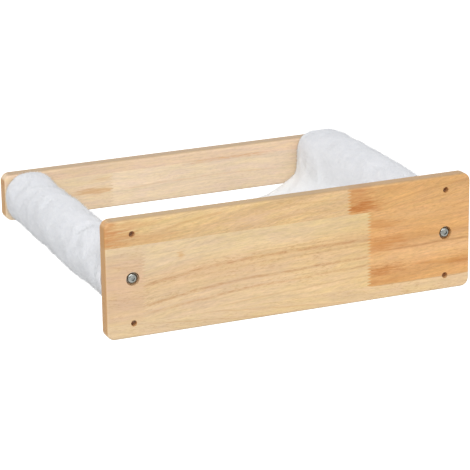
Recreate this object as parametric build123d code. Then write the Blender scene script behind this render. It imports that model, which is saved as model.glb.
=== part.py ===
from build123d import *
import math
import os

# Wall-mounted cat hammock, in millimetres: two glued-up wooden boards, two rods bolted between them and a
# plush bed whose side tunnels hang on the rods.
# +Z is up and +Y points into the wall. The origin is the middle of the wall board's wall face, level with
# the rods, so the hammock stands out from the wall towards -Y. Left and right are as seen from the room:
# the right side lies towards +X.

# Boards
board_length = 410.0
board_thickness = 15.0
wall_board_height = 125.0
front_board_height = 53.0
board_corner_radius = 9.0
board_edge_radius = 2.5

# Staves that the boards are glued up from, and the finger joints where two staves of one row meet, each
# measured from the end of the board that its name gives
wall_top_row_height = 28.0
wall_bottom_row_height = 15.5
wall_top_joint_from_left = 141.0
wall_middle_joint_from_left = 118.0
wall_middle_joint_from_right = 41.0
front_top_row_height = 12.5
front_joint_from_right = 126.5
finger_pitch = 3.6
finger_length = 5.5

# Holes for the wall screws, near the corners of the wall board
screw_from_board_end = 29.0
screw_from_board_edge = 15.5
screw_hole_diameter = 6.4

# Rods
rod_from_board_end = 29.0
rod_diameter = 28.0
rod_length = 305.0
rod_chamfer = 1.0

# Furniture bolts with a wide, low domed head and a hexagon socket
bolt_thread_diameter = 6.0
bolt_length = 25.0
bolt_tip_chamfer = 0.8
bolt_head_diameter = 11.4
bolt_head_height = 2.6
bolt_head_rim = 0.3
bolt_head_flat_diameter = 5.0
bolt_dome_angle = 40.0
bolt_socket_across_flats = 4.0
bolt_socket_depth = 1.7
bolt_socket_point_angle = 118.0
bolt_hole_clearance = 0.3

# Plain washers under the bolt heads
washer_diameter = 12.5
washer_thickness = 1.6
washer_bore_clearance = 0.2
recess_clearance = 0.95
head_below_face = 0.4

# Threaded inserts in the rods' ends
insert_diameter = 10.0
insert_length = 15.0
insert_bevel = 0.7
insert_fit_clearance = 0.05
thread_fit_clearance = 0.05
bolt_end_room = 3.0

# Plush bed: the gap that it keeps from the wood, and its thickness between the tunnels
soft_gap = 0.3
bed_thickness = 10.0

# Tunnels: the radius of each and how far its middle wanders from its rod along the way
right_tunnel_radius = 28.5
right_tunnel_outward = 3.0
right_tunnel_rise = -4.0
left_tunnel_radius = 33.0
left_tunnel_outward = 2.0
left_tunnel_rise = 2.5

# Seams that close the tunnels: inwards from the rod, and the crease's depth below it on top and underneath
right_seam_inset = 25.5
right_seam_top_depth = 19.0
right_seam_bottom_depth = 26.0
left_seam_inset = 29.5
left_seam_top_depth = 20.5
left_seam_bottom_depth = 28.0

# Bed surface: its depth below the rods where it leaves each side, at each shoulder and in the middle, the
# place of each of these points as a share of the way to the rod, and the share of the dip that each takes
right_flank_depth = 36.0
right_shoulder_depth = 41.0
bed_middle_depth = 42.5
left_shoulder_depth = 36.8
left_flank_depth = 32.0
bed_dip = 4.0
flank_shares = (0.65, -0.65)
shoulder_shares = (0.48, -0.44)
middle_share = 0.02
sink_shares = (0.5, 0.9, 1.0, 0.9, 0.5)

# Lining under the bed, and the thread of each seam
lining_thickness = 1.2
thread_diameter = 0.8
thread_drop = 0.4

# Stations along the bed from the front board to the wall board, and how far each shape has changed there
station_shares = (0.0, 0.12, 0.33, 0.55, 0.72, 0.88, 1.0)
right_wander_shares = (0.10, 0.16, 0.40, 0.85, 1.0, 0.75, 0.40)
left_wander_shares = (-0.30, 1.0, 1.0, 1.0, 0.60, 0.30, 0.0)
dip_shares = (0.0, 0.40, 0.85, 1.0, 0.80, 0.35, 0.10)

# Overrun of every cutting tool past the face that it leaves through
overrun = 1.0

# Sizes that follow from those above
board_end_x = board_length / 2
rod_x = board_end_x - rod_from_board_end
screw_x = board_end_x - screw_from_board_end
screw_z = wall_board_height / 2 - screw_from_board_edge
front_board_y = -(board_thickness + rod_length)
recess_diameter = washer_diameter + 2 * recess_clearance
recess_depth = head_below_face + bolt_head_height + washer_thickness
bolt_seat_depth = recess_depth - washer_thickness
bolt_hole_diameter = bolt_thread_diameter + 2 * bolt_hole_clearance
insert_bore_diameter = bolt_thread_diameter + 2 * thread_fit_clearance
rod_bore_diameter = insert_diameter + 2 * insert_fit_clearance
tunnel_bore_diameter = rod_diameter + 2 * soft_gap

# Angle of each point round a tunnel, from the inward direction over the top of the rod, between its creases
tunnel_angles = (-5, 35, 90, 145, 200, 250, 283)


def cylinder_along_y(diameter, start_y, end_y, x, z):
    """A cylinder between two depths from the wall."""
    circle = Plane.XZ.offset(-start_y) * Pos(x, z) * Circle(diameter / 2)
    return extrude(circle, amount=start_y - end_y)


def board_blank(height, wall_side_y):
    """A board with rounded corners and edges, before its holes and staves are cut."""
    outline = Plane.XZ.offset(-wall_side_y) * RectangleRounded(board_length, height, board_corner_radius)
    slab = extrude(outline, amount=board_thickness)
    faces = slab.faces().sort_by(Axis.Y)
    return fillet(faces[0].edges() + faces[-1].edges(), board_edge_radius)


def bolt_hole(x, inner_y, outward):
    """A bolt's hole through a board, with the recess for its head and washer in the outer face."""
    outer_y = inner_y + outward * board_thickness
    floor_y = outer_y - outward * recess_depth
    ends = sorted((inner_y - outward * overrun, outer_y + outward * overrun), reverse=True)
    recess_ends = sorted((floor_y, outer_y + outward * overrun), reverse=True)
    hole = cylinder_along_y(bolt_hole_diameter, ends[0], ends[1], x, 0)
    return hole + cylinder_along_y(recess_diameter, recess_ends[0], recess_ends[1], x, 0)


def finger_joint(joint_x, low_z, high_z):
    """The zigzag up a finger joint across one row of staves, with a whole number of fingers."""
    fingers = max(1, round((high_z - low_z) / finger_pitch))
    step = (high_z - low_z) / (2 * fingers)
    reach = finger_length / 2
    return [(joint_x + (reach if k % 2 else -reach), low_z + k * step) for k in range(2 * fingers + 1)]


def stave(blank, wall_side_y, height, low_z, high_z, left_joint_x, right_joint_x):
    """The stave of a board between two heights and two finger joints, or a board end where there is none."""
    board_low, board_high = -height / 2, height / 2
    outer_low = low_z - overrun if low_z == board_low else low_z
    outer_high = high_z + overrun if high_z == board_high else high_z

    def edge(joint_x, end_x):
        line = [(end_x, low_z), (end_x, high_z)] if joint_x is None else finger_joint(joint_x, low_z, high_z)
        return [(line[0][0], outer_low)] + line[1:-1] + [(line[-1][0], outer_high)]

    left = edge(left_joint_x, -board_end_x - overrun)
    right = edge(right_joint_x, board_end_x + overrun)
    region = Plane.XZ.offset(-wall_side_y - overrun) * Polygon(*right, *reversed(left), align=None)
    return (blank & extrude(region, amount=board_thickness + 2 * overrun)).solid()


def place(shape, x, face_y, outward):
    """Put a shape that was built along +Z at a depth from the wall, with its +Z pointing outward."""
    return Plane(origin=(x, face_y, 0), x_dir=(1, 0, 0), z_dir=(0, outward, 0)) * shape


def bolt():
    """A dome-head bolt along Z, with the underside of its head at Z = 0."""
    thread = bolt_thread_diameter / 2
    head = bolt_head_diameter / 2
    flat = bolt_head_flat_diameter / 2
    rim, top, tip = bolt_head_rim, bolt_head_height, -bolt_length
    turn = math.radians(bolt_dome_angle)
    dome_mid = (flat + (head - flat) * math.cos(turn), rim + (top - rim) * math.sin(turn))
    corners = [(0, top), (0, tip), (thread - bolt_tip_chamfer, tip), (thread, tip + bolt_tip_chamfer)]
    corners += [(thread, 0), (head, 0), (head, rim)]
    outline = [Plane.XZ * Line(a, b) for a, b in zip(corners, corners[1:])]
    outline.append(Plane.XZ * ThreePointArc((head, rim), dome_mid, (flat, top)))
    outline.append(Plane.XZ * Line((flat, top), (0, top)))
    body = revolve(make_face(outline), axis=Axis.Z)
    hexagon = RegularPolygon(bolt_socket_across_flats / 2, side_count=6, major_radius=False)
    socket = Pos(0, 0, top - bolt_socket_depth) * extrude(hexagon, amount=bolt_socket_depth + overrun)
    drill = bolt_socket_across_flats / 2
    point = drill / math.tan(math.radians(bolt_socket_point_angle / 2))
    outline = make_face(Plane.XZ * Polyline((0, 0), (0, -point), (drill, 0), close=True))
    socket += Pos(0, 0, top - bolt_socket_depth) * revolve(outline, axis=Axis.Z)
    return body - socket


def washer():
    """A plain washer along Z, standing on Z = 0."""
    bore = bolt_thread_diameter / 2 + washer_bore_clearance
    return extrude(Circle(washer_diameter / 2) - Circle(bore), amount=washer_thickness)


def insert():
    """A threaded insert along Z, its mouth at Z = 0 and its body below."""
    body = extrude(Circle(insert_diameter / 2), amount=-insert_length)
    body = chamfer(body.edges().sort_by(Axis.Z)[0], insert_bevel)
    return body - extrude(Circle(insert_bore_diameter / 2), amount=-insert_length - overrun, both=True)


def rod(x):
    """A rod between the boards, with a blind bore in each end for its insert."""
    body = cylinder_along_y(rod_diameter, -board_thickness, front_board_y, x, 0)
    ends = body.edges().filter_by(GeomType.CIRCLE)
    body = chamfer(ends, rod_chamfer)
    bore_depth = insert_length + bolt_end_room
    for joint_y, outward in ((-board_thickness, 1), (front_board_y, -1)):
        low_y, high_y = sorted((joint_y + outward * overrun, joint_y - outward * bore_depth))
        body -= cylinder_along_y(rod_bore_diameter, high_y, low_y, x, 0)
    return body


def seam_crease(side, inset, depth):
    """Where a seam's crease lies in a section of the bed: its X and Z."""
    return side * (rod_x - inset), -depth


def tunnel_outline(side, radius, outward, rise, top_crease, bottom_crease):
    """Arcs of one tunnel's outline, from its seam's top crease, round the rod, to its bottom crease."""
    middle_x, middle_z = side * (rod_x + outward), rise
    turn = [math.radians(angle) for angle in tunnel_angles]
    ring = [(middle_x - side * radius * math.cos(a), middle_z + radius * math.sin(a)) for a in turn]
    points = [top_crease] + ring + [bottom_crease]
    return [ThreePointArc(*points[k:k + 3]) for k in range(0, len(points) - 2, 2)]


def bed_points(dip, drop):
    """Points across the bed from the right flank to the left flank, lowered by the bed's dip and a drop."""
    shares = (flank_shares[0], shoulder_shares[0], middle_share, shoulder_shares[1], flank_shares[1])
    depths = (right_flank_depth, right_shoulder_depth, bed_middle_depth,
              left_shoulder_depth, left_flank_depth)
    return [(rod_x * s, -(depth + drop + dip * sink)) for s, depth, sink in zip(shares, depths, sink_shares)]


def sheet_arcs(start, middle, end):
    """Arcs along one face of the bed, from one crease to the other through the five points between."""
    points = [start] + middle + [end]
    return [ThreePointArc(*points[k:k + 3]) for k in range(0, len(points) - 2, 2)]


def reversed_arcs(arcs):
    """The same arcs, run from the last to the first."""
    return [ThreePointArc(arc @ 1, arc @ 0.5, arc @ 0) for arc in reversed(arcs)]


def station_y(share):
    """Depth from the wall of a station along the bed."""
    front, back = front_board_y + soft_gap, -board_thickness - soft_gap
    return front + share * (back - front)


right_top = seam_crease(1, right_seam_inset, right_seam_top_depth)
right_bottom = seam_crease(1, right_seam_inset, right_seam_bottom_depth)
left_top = seam_crease(-1, left_seam_inset, left_seam_top_depth)
left_bottom = seam_crease(-1, left_seam_inset, left_seam_bottom_depth)


def bed_section(k):
    """The bed's outline at one station: both tunnels, and the bed's upper and lower face between them."""
    right_wander, left_wander, dip = right_wander_shares[k], left_wander_shares[k], bed_dip * dip_shares[k]
    right = tunnel_outline(1, right_tunnel_radius, right_tunnel_outward * right_wander,
                           right_tunnel_rise * right_wander, right_top, right_bottom)
    left = tunnel_outline(-1, left_tunnel_radius, left_tunnel_outward * left_wander,
                          left_tunnel_rise * left_wander, left_top, left_bottom)
    upper = sheet_arcs(right_top, bed_points(dip, 0), left_top)
    lower = sheet_arcs(right_bottom, bed_points(dip, bed_thickness), left_bottom)
    outline = upper + left + reversed_arcs(lower) + reversed_arcs(right)
    return Plane.XZ.offset(-station_y(station_shares[k])) * make_face(outline)


def lining_section(k):
    """The lining's outline at one station: a thin strip that follows the bed's lower face."""
    dip = bed_dip * dip_shares[k]
    faces = []
    for drop in (soft_gap, soft_gap + lining_thickness):
        start = (right_bottom[0], right_bottom[1] - drop)
        end = (left_bottom[0], left_bottom[1] - drop)
        faces.append(sheet_arcs(start, bed_points(dip, bed_thickness + drop), end))
    upper, lower = faces
    left_end = Line(upper[-1] @ 1, lower[-1] @ 1)
    right_end = Line(lower[0] @ 0, upper[0] @ 0)
    outline = upper + [left_end] + reversed_arcs(lower) + [right_end]
    return Plane.XZ.offset(-station_y(station_shares[k])) * make_face(outline)


def hammock_plush():
    """The plush bed with its two tunnels, which the rods run through."""
    body = loft([bed_section(k) for k in range(len(station_shares))])
    for x in (rod_x, -rod_x):
        body -= cylinder_along_y(tunnel_bore_diameter, 0, front_board_y - board_thickness, x, 0)
    return body


def hammock_lining():
    """The woven lining under the bed."""
    return loft([lining_section(k) for k in range(len(station_shares))])


def seam_thread(crease):
    """The line of thread along a seam, under the lining's edge."""
    drop = soft_gap + lining_thickness + soft_gap + thread_drop + thread_diameter / 2
    return cylinder_along_y(thread_diameter, station_y(1), station_y(0), crease[0], crease[1] - drop)


def write(name, shape):
    """Write one piece to its own file."""
    export_step(shape, f"parts/{name}.step")


os.makedirs("parts", exist_ok=True)

# Wall board
wall_blank = board_blank(wall_board_height, 0)
for x in (screw_x, -screw_x):
    for z in (screw_z, -screw_z):
        wall_blank -= cylinder_along_y(screw_hole_diameter, overrun, -board_thickness - overrun, x, z)
for x in (rod_x, -rod_x):
    wall_blank -= bolt_hole(x, -board_thickness, 1)

wall_top = wall_board_height / 2
wall_top_joint_x = wall_top_joint_from_left - board_end_x
wall_middle_joints_x = (wall_middle_joint_from_left - board_end_x, board_end_x - wall_middle_joint_from_right)
wall_rows = {
    "top": (wall_top - wall_top_row_height, wall_top, (None, wall_top_joint_x, None)),
    "middle": (-wall_top + wall_bottom_row_height, wall_top - wall_top_row_height,
               (None, *wall_middle_joints_x, None)),
    "bottom": (-wall_top, -wall_top + wall_bottom_row_height, (None, None)),
}
for row, (low_z, high_z, joints) in wall_rows.items():
    for k, (left_x, right_x) in enumerate(zip(joints, joints[1:]), start=1):
        piece = stave(wall_blank, 0, wall_board_height, low_z, high_z, left_x, right_x)
        write(f"wall_board_{row}_stave_{k}", piece)

# Front board
front_blank = board_blank(front_board_height, front_board_y)
for x in (rod_x, -rod_x):
    front_blank -= bolt_hole(x, front_board_y, -1)

front_top = front_board_height / 2
front_joint_x = board_end_x - front_joint_from_right
front_rows = {
    "top": (front_top - front_top_row_height, front_top, (None, None)),
    "bottom": (-front_top, front_top - front_top_row_height, (None, front_joint_x, None)),
}
for row, (low_z, high_z, joints) in front_rows.items():
    for k, (left_x, right_x) in enumerate(zip(joints, joints[1:]), start=1):
        piece = stave(front_blank, front_board_y, front_board_height, low_z, high_z, left_x, right_x)
        write(f"front_board_{row}_stave_{k}", piece)

# Rods with their inserts, washers and bolts
for side, x in (("right", rod_x), ("left", -rod_x)):
    write(f"rod_{side}", rod(x))
    for end, joint_y, outward in (("wall", -board_thickness, 1), ("front", front_board_y, -1)):
        outer_y = joint_y + outward * board_thickness
        write(f"insert_{end}_{side}", place(insert(), x, joint_y, outward))
        write(f"washer_{end}_{side}", place(washer(), x, outer_y - outward * recess_depth, outward))
        write(f"bolt_{end}_{side}", place(bolt(), x, outer_y - outward * bolt_seat_depth, outward))

# Bed
write("hammock_plush", hammock_plush())
write("hammock_lining", hammock_lining())
write("seam_thread_right", seam_thread(right_bottom))
write("seam_thread_left", seam_thread(left_bottom))
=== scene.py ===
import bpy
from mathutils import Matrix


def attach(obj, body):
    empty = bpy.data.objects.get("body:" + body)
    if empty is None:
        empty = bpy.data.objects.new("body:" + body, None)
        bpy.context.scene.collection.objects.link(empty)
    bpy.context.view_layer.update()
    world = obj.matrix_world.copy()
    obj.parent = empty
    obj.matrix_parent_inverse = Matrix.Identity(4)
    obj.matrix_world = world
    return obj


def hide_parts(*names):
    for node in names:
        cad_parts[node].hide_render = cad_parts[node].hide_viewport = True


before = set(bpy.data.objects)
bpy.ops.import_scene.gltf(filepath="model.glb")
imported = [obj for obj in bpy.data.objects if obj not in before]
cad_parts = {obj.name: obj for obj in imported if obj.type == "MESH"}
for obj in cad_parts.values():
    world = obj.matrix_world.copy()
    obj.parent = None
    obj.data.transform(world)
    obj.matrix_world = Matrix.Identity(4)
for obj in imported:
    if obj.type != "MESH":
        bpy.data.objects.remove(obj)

"""Wall-mounted cat hammock: two finger-jointed rubberwood boards, two dowel rods bolted between them, and a
plush bed whose side tunnels hang on the rods.

Metres throughout, in the model's frame: +Z is up and +Y points into the wall. The origin is the middle of the
wall board's wall face, level with the rods. Sizes are written in millimetres times MM.
"""

import logging
import math
from dataclasses import dataclass
from enum import Enum

import bpy
import numpy as np
from mathutils import Matrix, Vector, noise
from mathutils.bvhtree import BVHTree

MM = 0.001
BOARD_LENGTH = 410.0
BOARD_THICKNESS = 15.0
HAMMOCK_DEPTH = 335.0
ROD_X = 176.0
SCREW_HOLE = (176.0, 47.0)
SEAT_DEPTH = 3.0
SOFT_GAP = 0.3
STATIONS = (0.0, 0.12, 0.33, 0.55, 0.72, 0.88, 1.0)
LOG = logging.getLogger("hammock")
Socket = bpy.types.NodeSocket
Piece = bpy.types.Object
Triple = tuple[float, float, float]


def shade(hex_colour: str) -> tuple[float, float, float, float]:
    """Turn an sRGB colour into the linear one that a shader takes.

    Args:
        hex_colour: The colour as "#RRGGBB".

    Returns:
        Linear red, green, blue and a full alpha.
    """
    channels = [int(hex_colour[k:k + 2], 16) / 255 for k in (1, 3, 5)]
    linear = [c / 12.92 if c <= 0.04045 else ((c + 0.055) / 1.055) ** 2.4 for c in channels]
    return (linear[0], linear[1], linear[2], 1.0)


def add_node(tree: bpy.types.NodeTree, kind: str, inputs: dict | None = None, output: int | str = 0,
             stops: list[tuple] | None = None, points: list[tuple] | None = None,
             **settings: object) -> Socket:
    """Add one node with its settings and links.

    Args:
        tree: The node tree that gets the node.
        kind: The node's type without its "ShaderNode" prefix.
        inputs: A value or a socket to link for each input, by name or number.
        output: The output to return, by name or number.
        stops: Position and colour of each stop, for a node with a colour ramp.
        points: Places of the points, for a node with a curve.
        settings: The node's own properties.

    Returns:
        The chosen output socket.
    """
    node = tree.nodes.new("ShaderNode" + kind)
    for name, value in settings.items():
        setattr(node, name, value)
    for name, value in (inputs or {}).items():
        if isinstance(value, bpy.types.NodeSocket):
            tree.links.new(value, node.inputs[name])
        else:
            node.inputs[name].default_value = value
    if stops:
        elements = node.color_ramp.elements
        while len(elements) < len(stops):
            elements.new(1.0)
        for element, (place, colour) in zip(elements, stops):
            element.position = place
            element.color = colour
    if points:
        curve = node.mapping.curves[0]
        while len(curve.points) < len(points):
            curve.points.new(0.5, 0.5)
        for point, place in zip(curve.points, sorted(points)):
            point.location = place
        node.mapping.update()
    return node.outputs[output]


def new_material(name: str) -> tuple[bpy.types.Material, bpy.types.NodeTree]:
    """Start a material with an empty node tree.

    Args:
        name: The material's name.

    Returns:
        The material and its node tree.
    """
    material = bpy.data.materials.new(name)
    material.use_nodes = True
    material.node_tree.nodes.clear()
    return material, material.node_tree


def select_only(*pieces: Piece) -> None:
    """Select these pieces alone and make the last of them active.

    Args:
        pieces: The pieces to select.
    """
    bpy.ops.object.select_all(action="DESELECT")
    for piece in pieces:
        piece.select_set(True)
        bpy.context.view_layer.objects.active = piece


def apply_modifier(piece: Piece, kind: str, **settings: object) -> None:
    """Add one modifier to a piece and apply it.

    Args:
        piece: The piece to change.
        kind: The modifier's type.
        settings: The modifier's own properties.
    """
    select_only(piece)
    modifier = piece.modifiers.new(kind.title(), kind)
    for name, value in settings.items():
        setattr(modifier, name, value)
    bpy.ops.object.modifier_apply(modifier=modifier.name)


def settle(piece: Piece) -> None:
    """Put a piece's place into its mesh, so that its object sits at the origin, unturned and unscaled."""
    select_only(piece)
    bpy.ops.object.transform_apply(location=True, rotation=True, scale=True)


def turn_over(piece: Piece) -> None:
    """Turn a piece's faces round, so that they point the other way.

    Args:
        piece: The piece to turn over.
    """
    select_only(piece)
    bpy.ops.object.mode_set(mode="EDIT")
    bpy.ops.mesh.select_all(action="SELECT")
    bpy.ops.mesh.flip_normals()
    bpy.ops.object.mode_set(mode="OBJECT")


class Light(Enum):
    """The studio's lamps: place and size in metres, and power in watts."""

    KEY = ((1.9, 1.9, 2.4), 2.2, 51.5)
    FILL = ((-0.6, 2.6, 1.7), 2.2, 13.0)
    GLINT = ((0.30, 1.70, 2.60), 0.6, 12.0)


@dataclass(frozen=True)
class Studio:
    """A white room: a pale floor far below the hammock, a white surround and three soft lamps.

    The floor and the surround look white to the camera and to reflections, and light the object softly.

    Attributes:
        floor_drop: How far the floor lies below the rods.
        floor_size: Length of the floor's sides.
        surround_level: Strength of the surround where it lights the object.
        floor_lift: Light that the floor adds where it is seen, so that it looks white.
        aim: The place that the lamps point at.
        lens: The camera's focal length in millimetres.
        clip: The nearest and the farthest distance that the camera sees.
        camera_place: Where the camera stands.
        camera_forward: The way it looks.
        camera_up: Its upward direction.
    """

    floor_drop: float = 1500 * MM
    floor_size: float = 60.0
    surround_level: float = 0.60
    floor_lift: float = 0.8
    aim: Triple = (0.0, -0.16, 0.0)
    lens: float = 188.93
    clip: tuple[float, float] = (0.05, 200.0)
    camera_place: Triple = (0.9953, 2.1884, 0.7911)
    camera_forward: Triple = (-0.3728, -0.8765, -0.3045)
    camera_up: Triple = (-0.1317, -0.2749, 0.9524)

    def build(self) -> None:
        """Make the camera, the surround, the lamps and the floor."""
        scene = bpy.context.scene
        scene.view_settings.view_transform = "Standard"
        self.camera(scene)
        self.surround(scene)
        for light in Light:
            self.lamp(light)
        self.floor()

    def camera(self, scene: bpy.types.Scene) -> None:
        """Put the camera where the photograph was taken from.

        Args:
            scene: The scene that looks through it.
        """
        forward, up = Vector(self.camera_forward).normalized(), Vector(self.camera_up).normalized()
        right = forward.cross(up).normalized()
        turn = Matrix((right, right.cross(forward), -forward)).transposed()
        bpy.ops.object.camera_add(location=self.camera_place, rotation=turn.to_euler())
        camera = bpy.context.object
        camera.data.lens = self.lens
        camera.data.clip_start, camera.data.clip_end = self.clip
        scene.camera = camera

    def surround(self, scene: bpy.types.Scene) -> None:
        """Light the scene evenly from all round, and show white behind the object.

        Args:
            scene: The scene that gets the world.
        """
        world = bpy.data.worlds.new("studio_surround")
        world.use_nodes = True
        scene.world = world
        tree = world.node_tree
        tree.nodes.clear()
        seen = self.seen_white(tree)
        level = add_node(tree, "MapRange", {"Value": seen, "To Min": self.surround_level, "To Max": 1.0})
        back = add_node(tree, "Background", {"Color": shade("#FFFFFF"), "Strength": level})
        out = tree.nodes.new("ShaderNodeOutputWorld")
        tree.links.new(back, out.inputs["Surface"])

    @staticmethod
    def seen_white(tree: bpy.types.NodeTree) -> Socket:
        """Give 1 for camera, glossy and transmission rays and 0 for those that light the object.

        Args:
            tree: The node tree that asks.

        Returns:
            The socket that holds the answer.
        """
        path = tree.nodes.new("ShaderNodeLightPath")
        first = add_node(tree, "Math", {0: path.outputs["Is Camera Ray"], 1: path.outputs["Is Glossy Ray"]},
                         operation="MAXIMUM")
        return add_node(tree, "Math", {0: first, 1: path.outputs["Is Transmission Ray"]},
                        operation="MAXIMUM")

    def lamp(self, light: Light) -> None:
        """Add one square soft lamp that points at the hammock.

        Args:
            light: Which lamp.
        """
        place, size, power = light.value
        turn = (Vector(self.aim) - Vector(place)).to_track_quat("-Z", "Y").to_euler()
        bpy.ops.object.light_add(type="AREA", location=place, rotation=turn)
        lamp = bpy.context.object
        lamp.data.size = size
        lamp.data.energy = power

    def floor(self) -> None:
        """Lay the pale floor, which keeps the object's shadow."""
        bpy.ops.mesh.primitive_plane_add(size=self.floor_size, location=(0, 0, -self.floor_drop))
        floor = bpy.context.object
        floor.name = "studio_floor"
        material, tree = new_material("matt_white_floor")
        matt = add_node(tree, "BsdfDiffuse", {"Color": shade("#F2F2F0")})
        lift = add_node(tree, "Emission", {"Color": shade("#FFFFFF"), "Strength": self.floor_lift})
        both = add_node(tree, "AddShader", {0: matt, 1: lift})
        mixed = add_node(tree, "MixShader", {0: self.seen_white(tree), 1: matt, 2: both})
        out = tree.nodes.new("ShaderNodeOutputMaterial")
        tree.links.new(mixed, out.inputs["Surface"])
        floor.data.materials.append(material)
        settle(floor)


@dataclass(frozen=True)
class Finish:
    """How one surface looks. Each kind of finish builds its own shader.

    Attributes:
        name: The material's name.
    """

    name: str

    def material(self) -> bpy.types.Material:
        """Build the material.

        Returns:
            The material.
        """
        material, tree = new_material(self.name)
        place = tree.nodes.new("ShaderNodeTexCoord").outputs["Object"]
        out = tree.nodes.new("ShaderNodeOutputMaterial")
        tree.links.new(self.shader(tree, place), out.inputs["Surface"])
        return material

    def shader(self, tree: bpy.types.NodeTree, place: Socket) -> Socket:
        """Build the shader.

        Args:
            tree: The material's node tree.
            place: The place in metres.

        Returns:
            The shader.
        """
        raise NotImplementedError(f"{self.name} has no shader")


def grain_noise(tree: bpy.types.NodeTree, place: Socket, size: Triple, detail: float,
                roughness: float = 0.65, seed: float = 0.0) -> Socket:
    """Add noise whose grains have a real size.

    Args:
        tree: The material's node tree.
        place: The place in millimetres.
        size: Size of one grain along each axis in millimetres.
        detail: Number of finer layers.
        roughness: Strength of the finer layers.
        seed: A number that moves the noise.

    Returns:
        The noise, from 0 to 1.
    """
    scaled = add_node(tree, "Mapping", {"Vector": place, "Scale": tuple(1 / s for s in size),
                                        "Location": (seed * 7.3, seed * 3.1, seed * 5.7)})
    return add_node(tree, "TexNoise", {"Vector": scaled, "Scale": 1.0, "Detail": detail,
                                       "Roughness": roughness})


def rim_mask(tree: bpy.types.NodeTree, value: Socket, middle: float, reach: tuple[float, float],
             ends: tuple[float, float] = (0.0, 1.0)) -> Socket:
    """Give a strength that changes with the distance from a middle, either way.

    Args:
        tree: The material's node tree.
        value: Millimetres along an axis.
        middle: The middle.
        reach: The distances where the change starts and stops.
        ends: The strength at each of them.

    Returns:
        The strength.
    """
    away = add_node(tree, "Math", {0: value, 1: middle}, operation="SUBTRACT")
    away = add_node(tree, "Math", {0: away}, operation="ABSOLUTE")
    return add_node(tree, "MapRange", {"Value": away, "From Min": reach[0], "From Max": reach[1],
                                       "To Min": ends[0], "To Max": ends[1]})


@dataclass(frozen=True)
class Stain:
    """A patch of deeper or paler wood, in millimetres.

    Attributes:
        x: X of its middle.
        z: Z of its middle.
        half_length: Half its length along the grain.
        half_height: Half its height.
        colour: Its colour.
        strength: How strongly it shows.
    """

    x: float
    z: float
    half_length: float
    half_height: float
    colour: str
    strength: float


@dataclass(frozen=True)
class Vein:
    """A growth line or band that follows its own curve along the stave, in millimetres.

    Attributes:
        path: X and Z of points on it, in rising X. It fades out beyond its two ends.
        width: Half its height.
        colour: Its colour.
        strength: How strongly it shows.
        broken: How much it breaks up into dashes, from 0 to 1.
        sway: How far it strays from its curve.
        fade: Half the length over which it fades out at each end.
    """

    path: tuple[tuple[float, float], ...]
    width: float
    colour: str
    strength: float
    broken: float = 0.7
    sway: float = 1.6
    fade: float = 8.0


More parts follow.
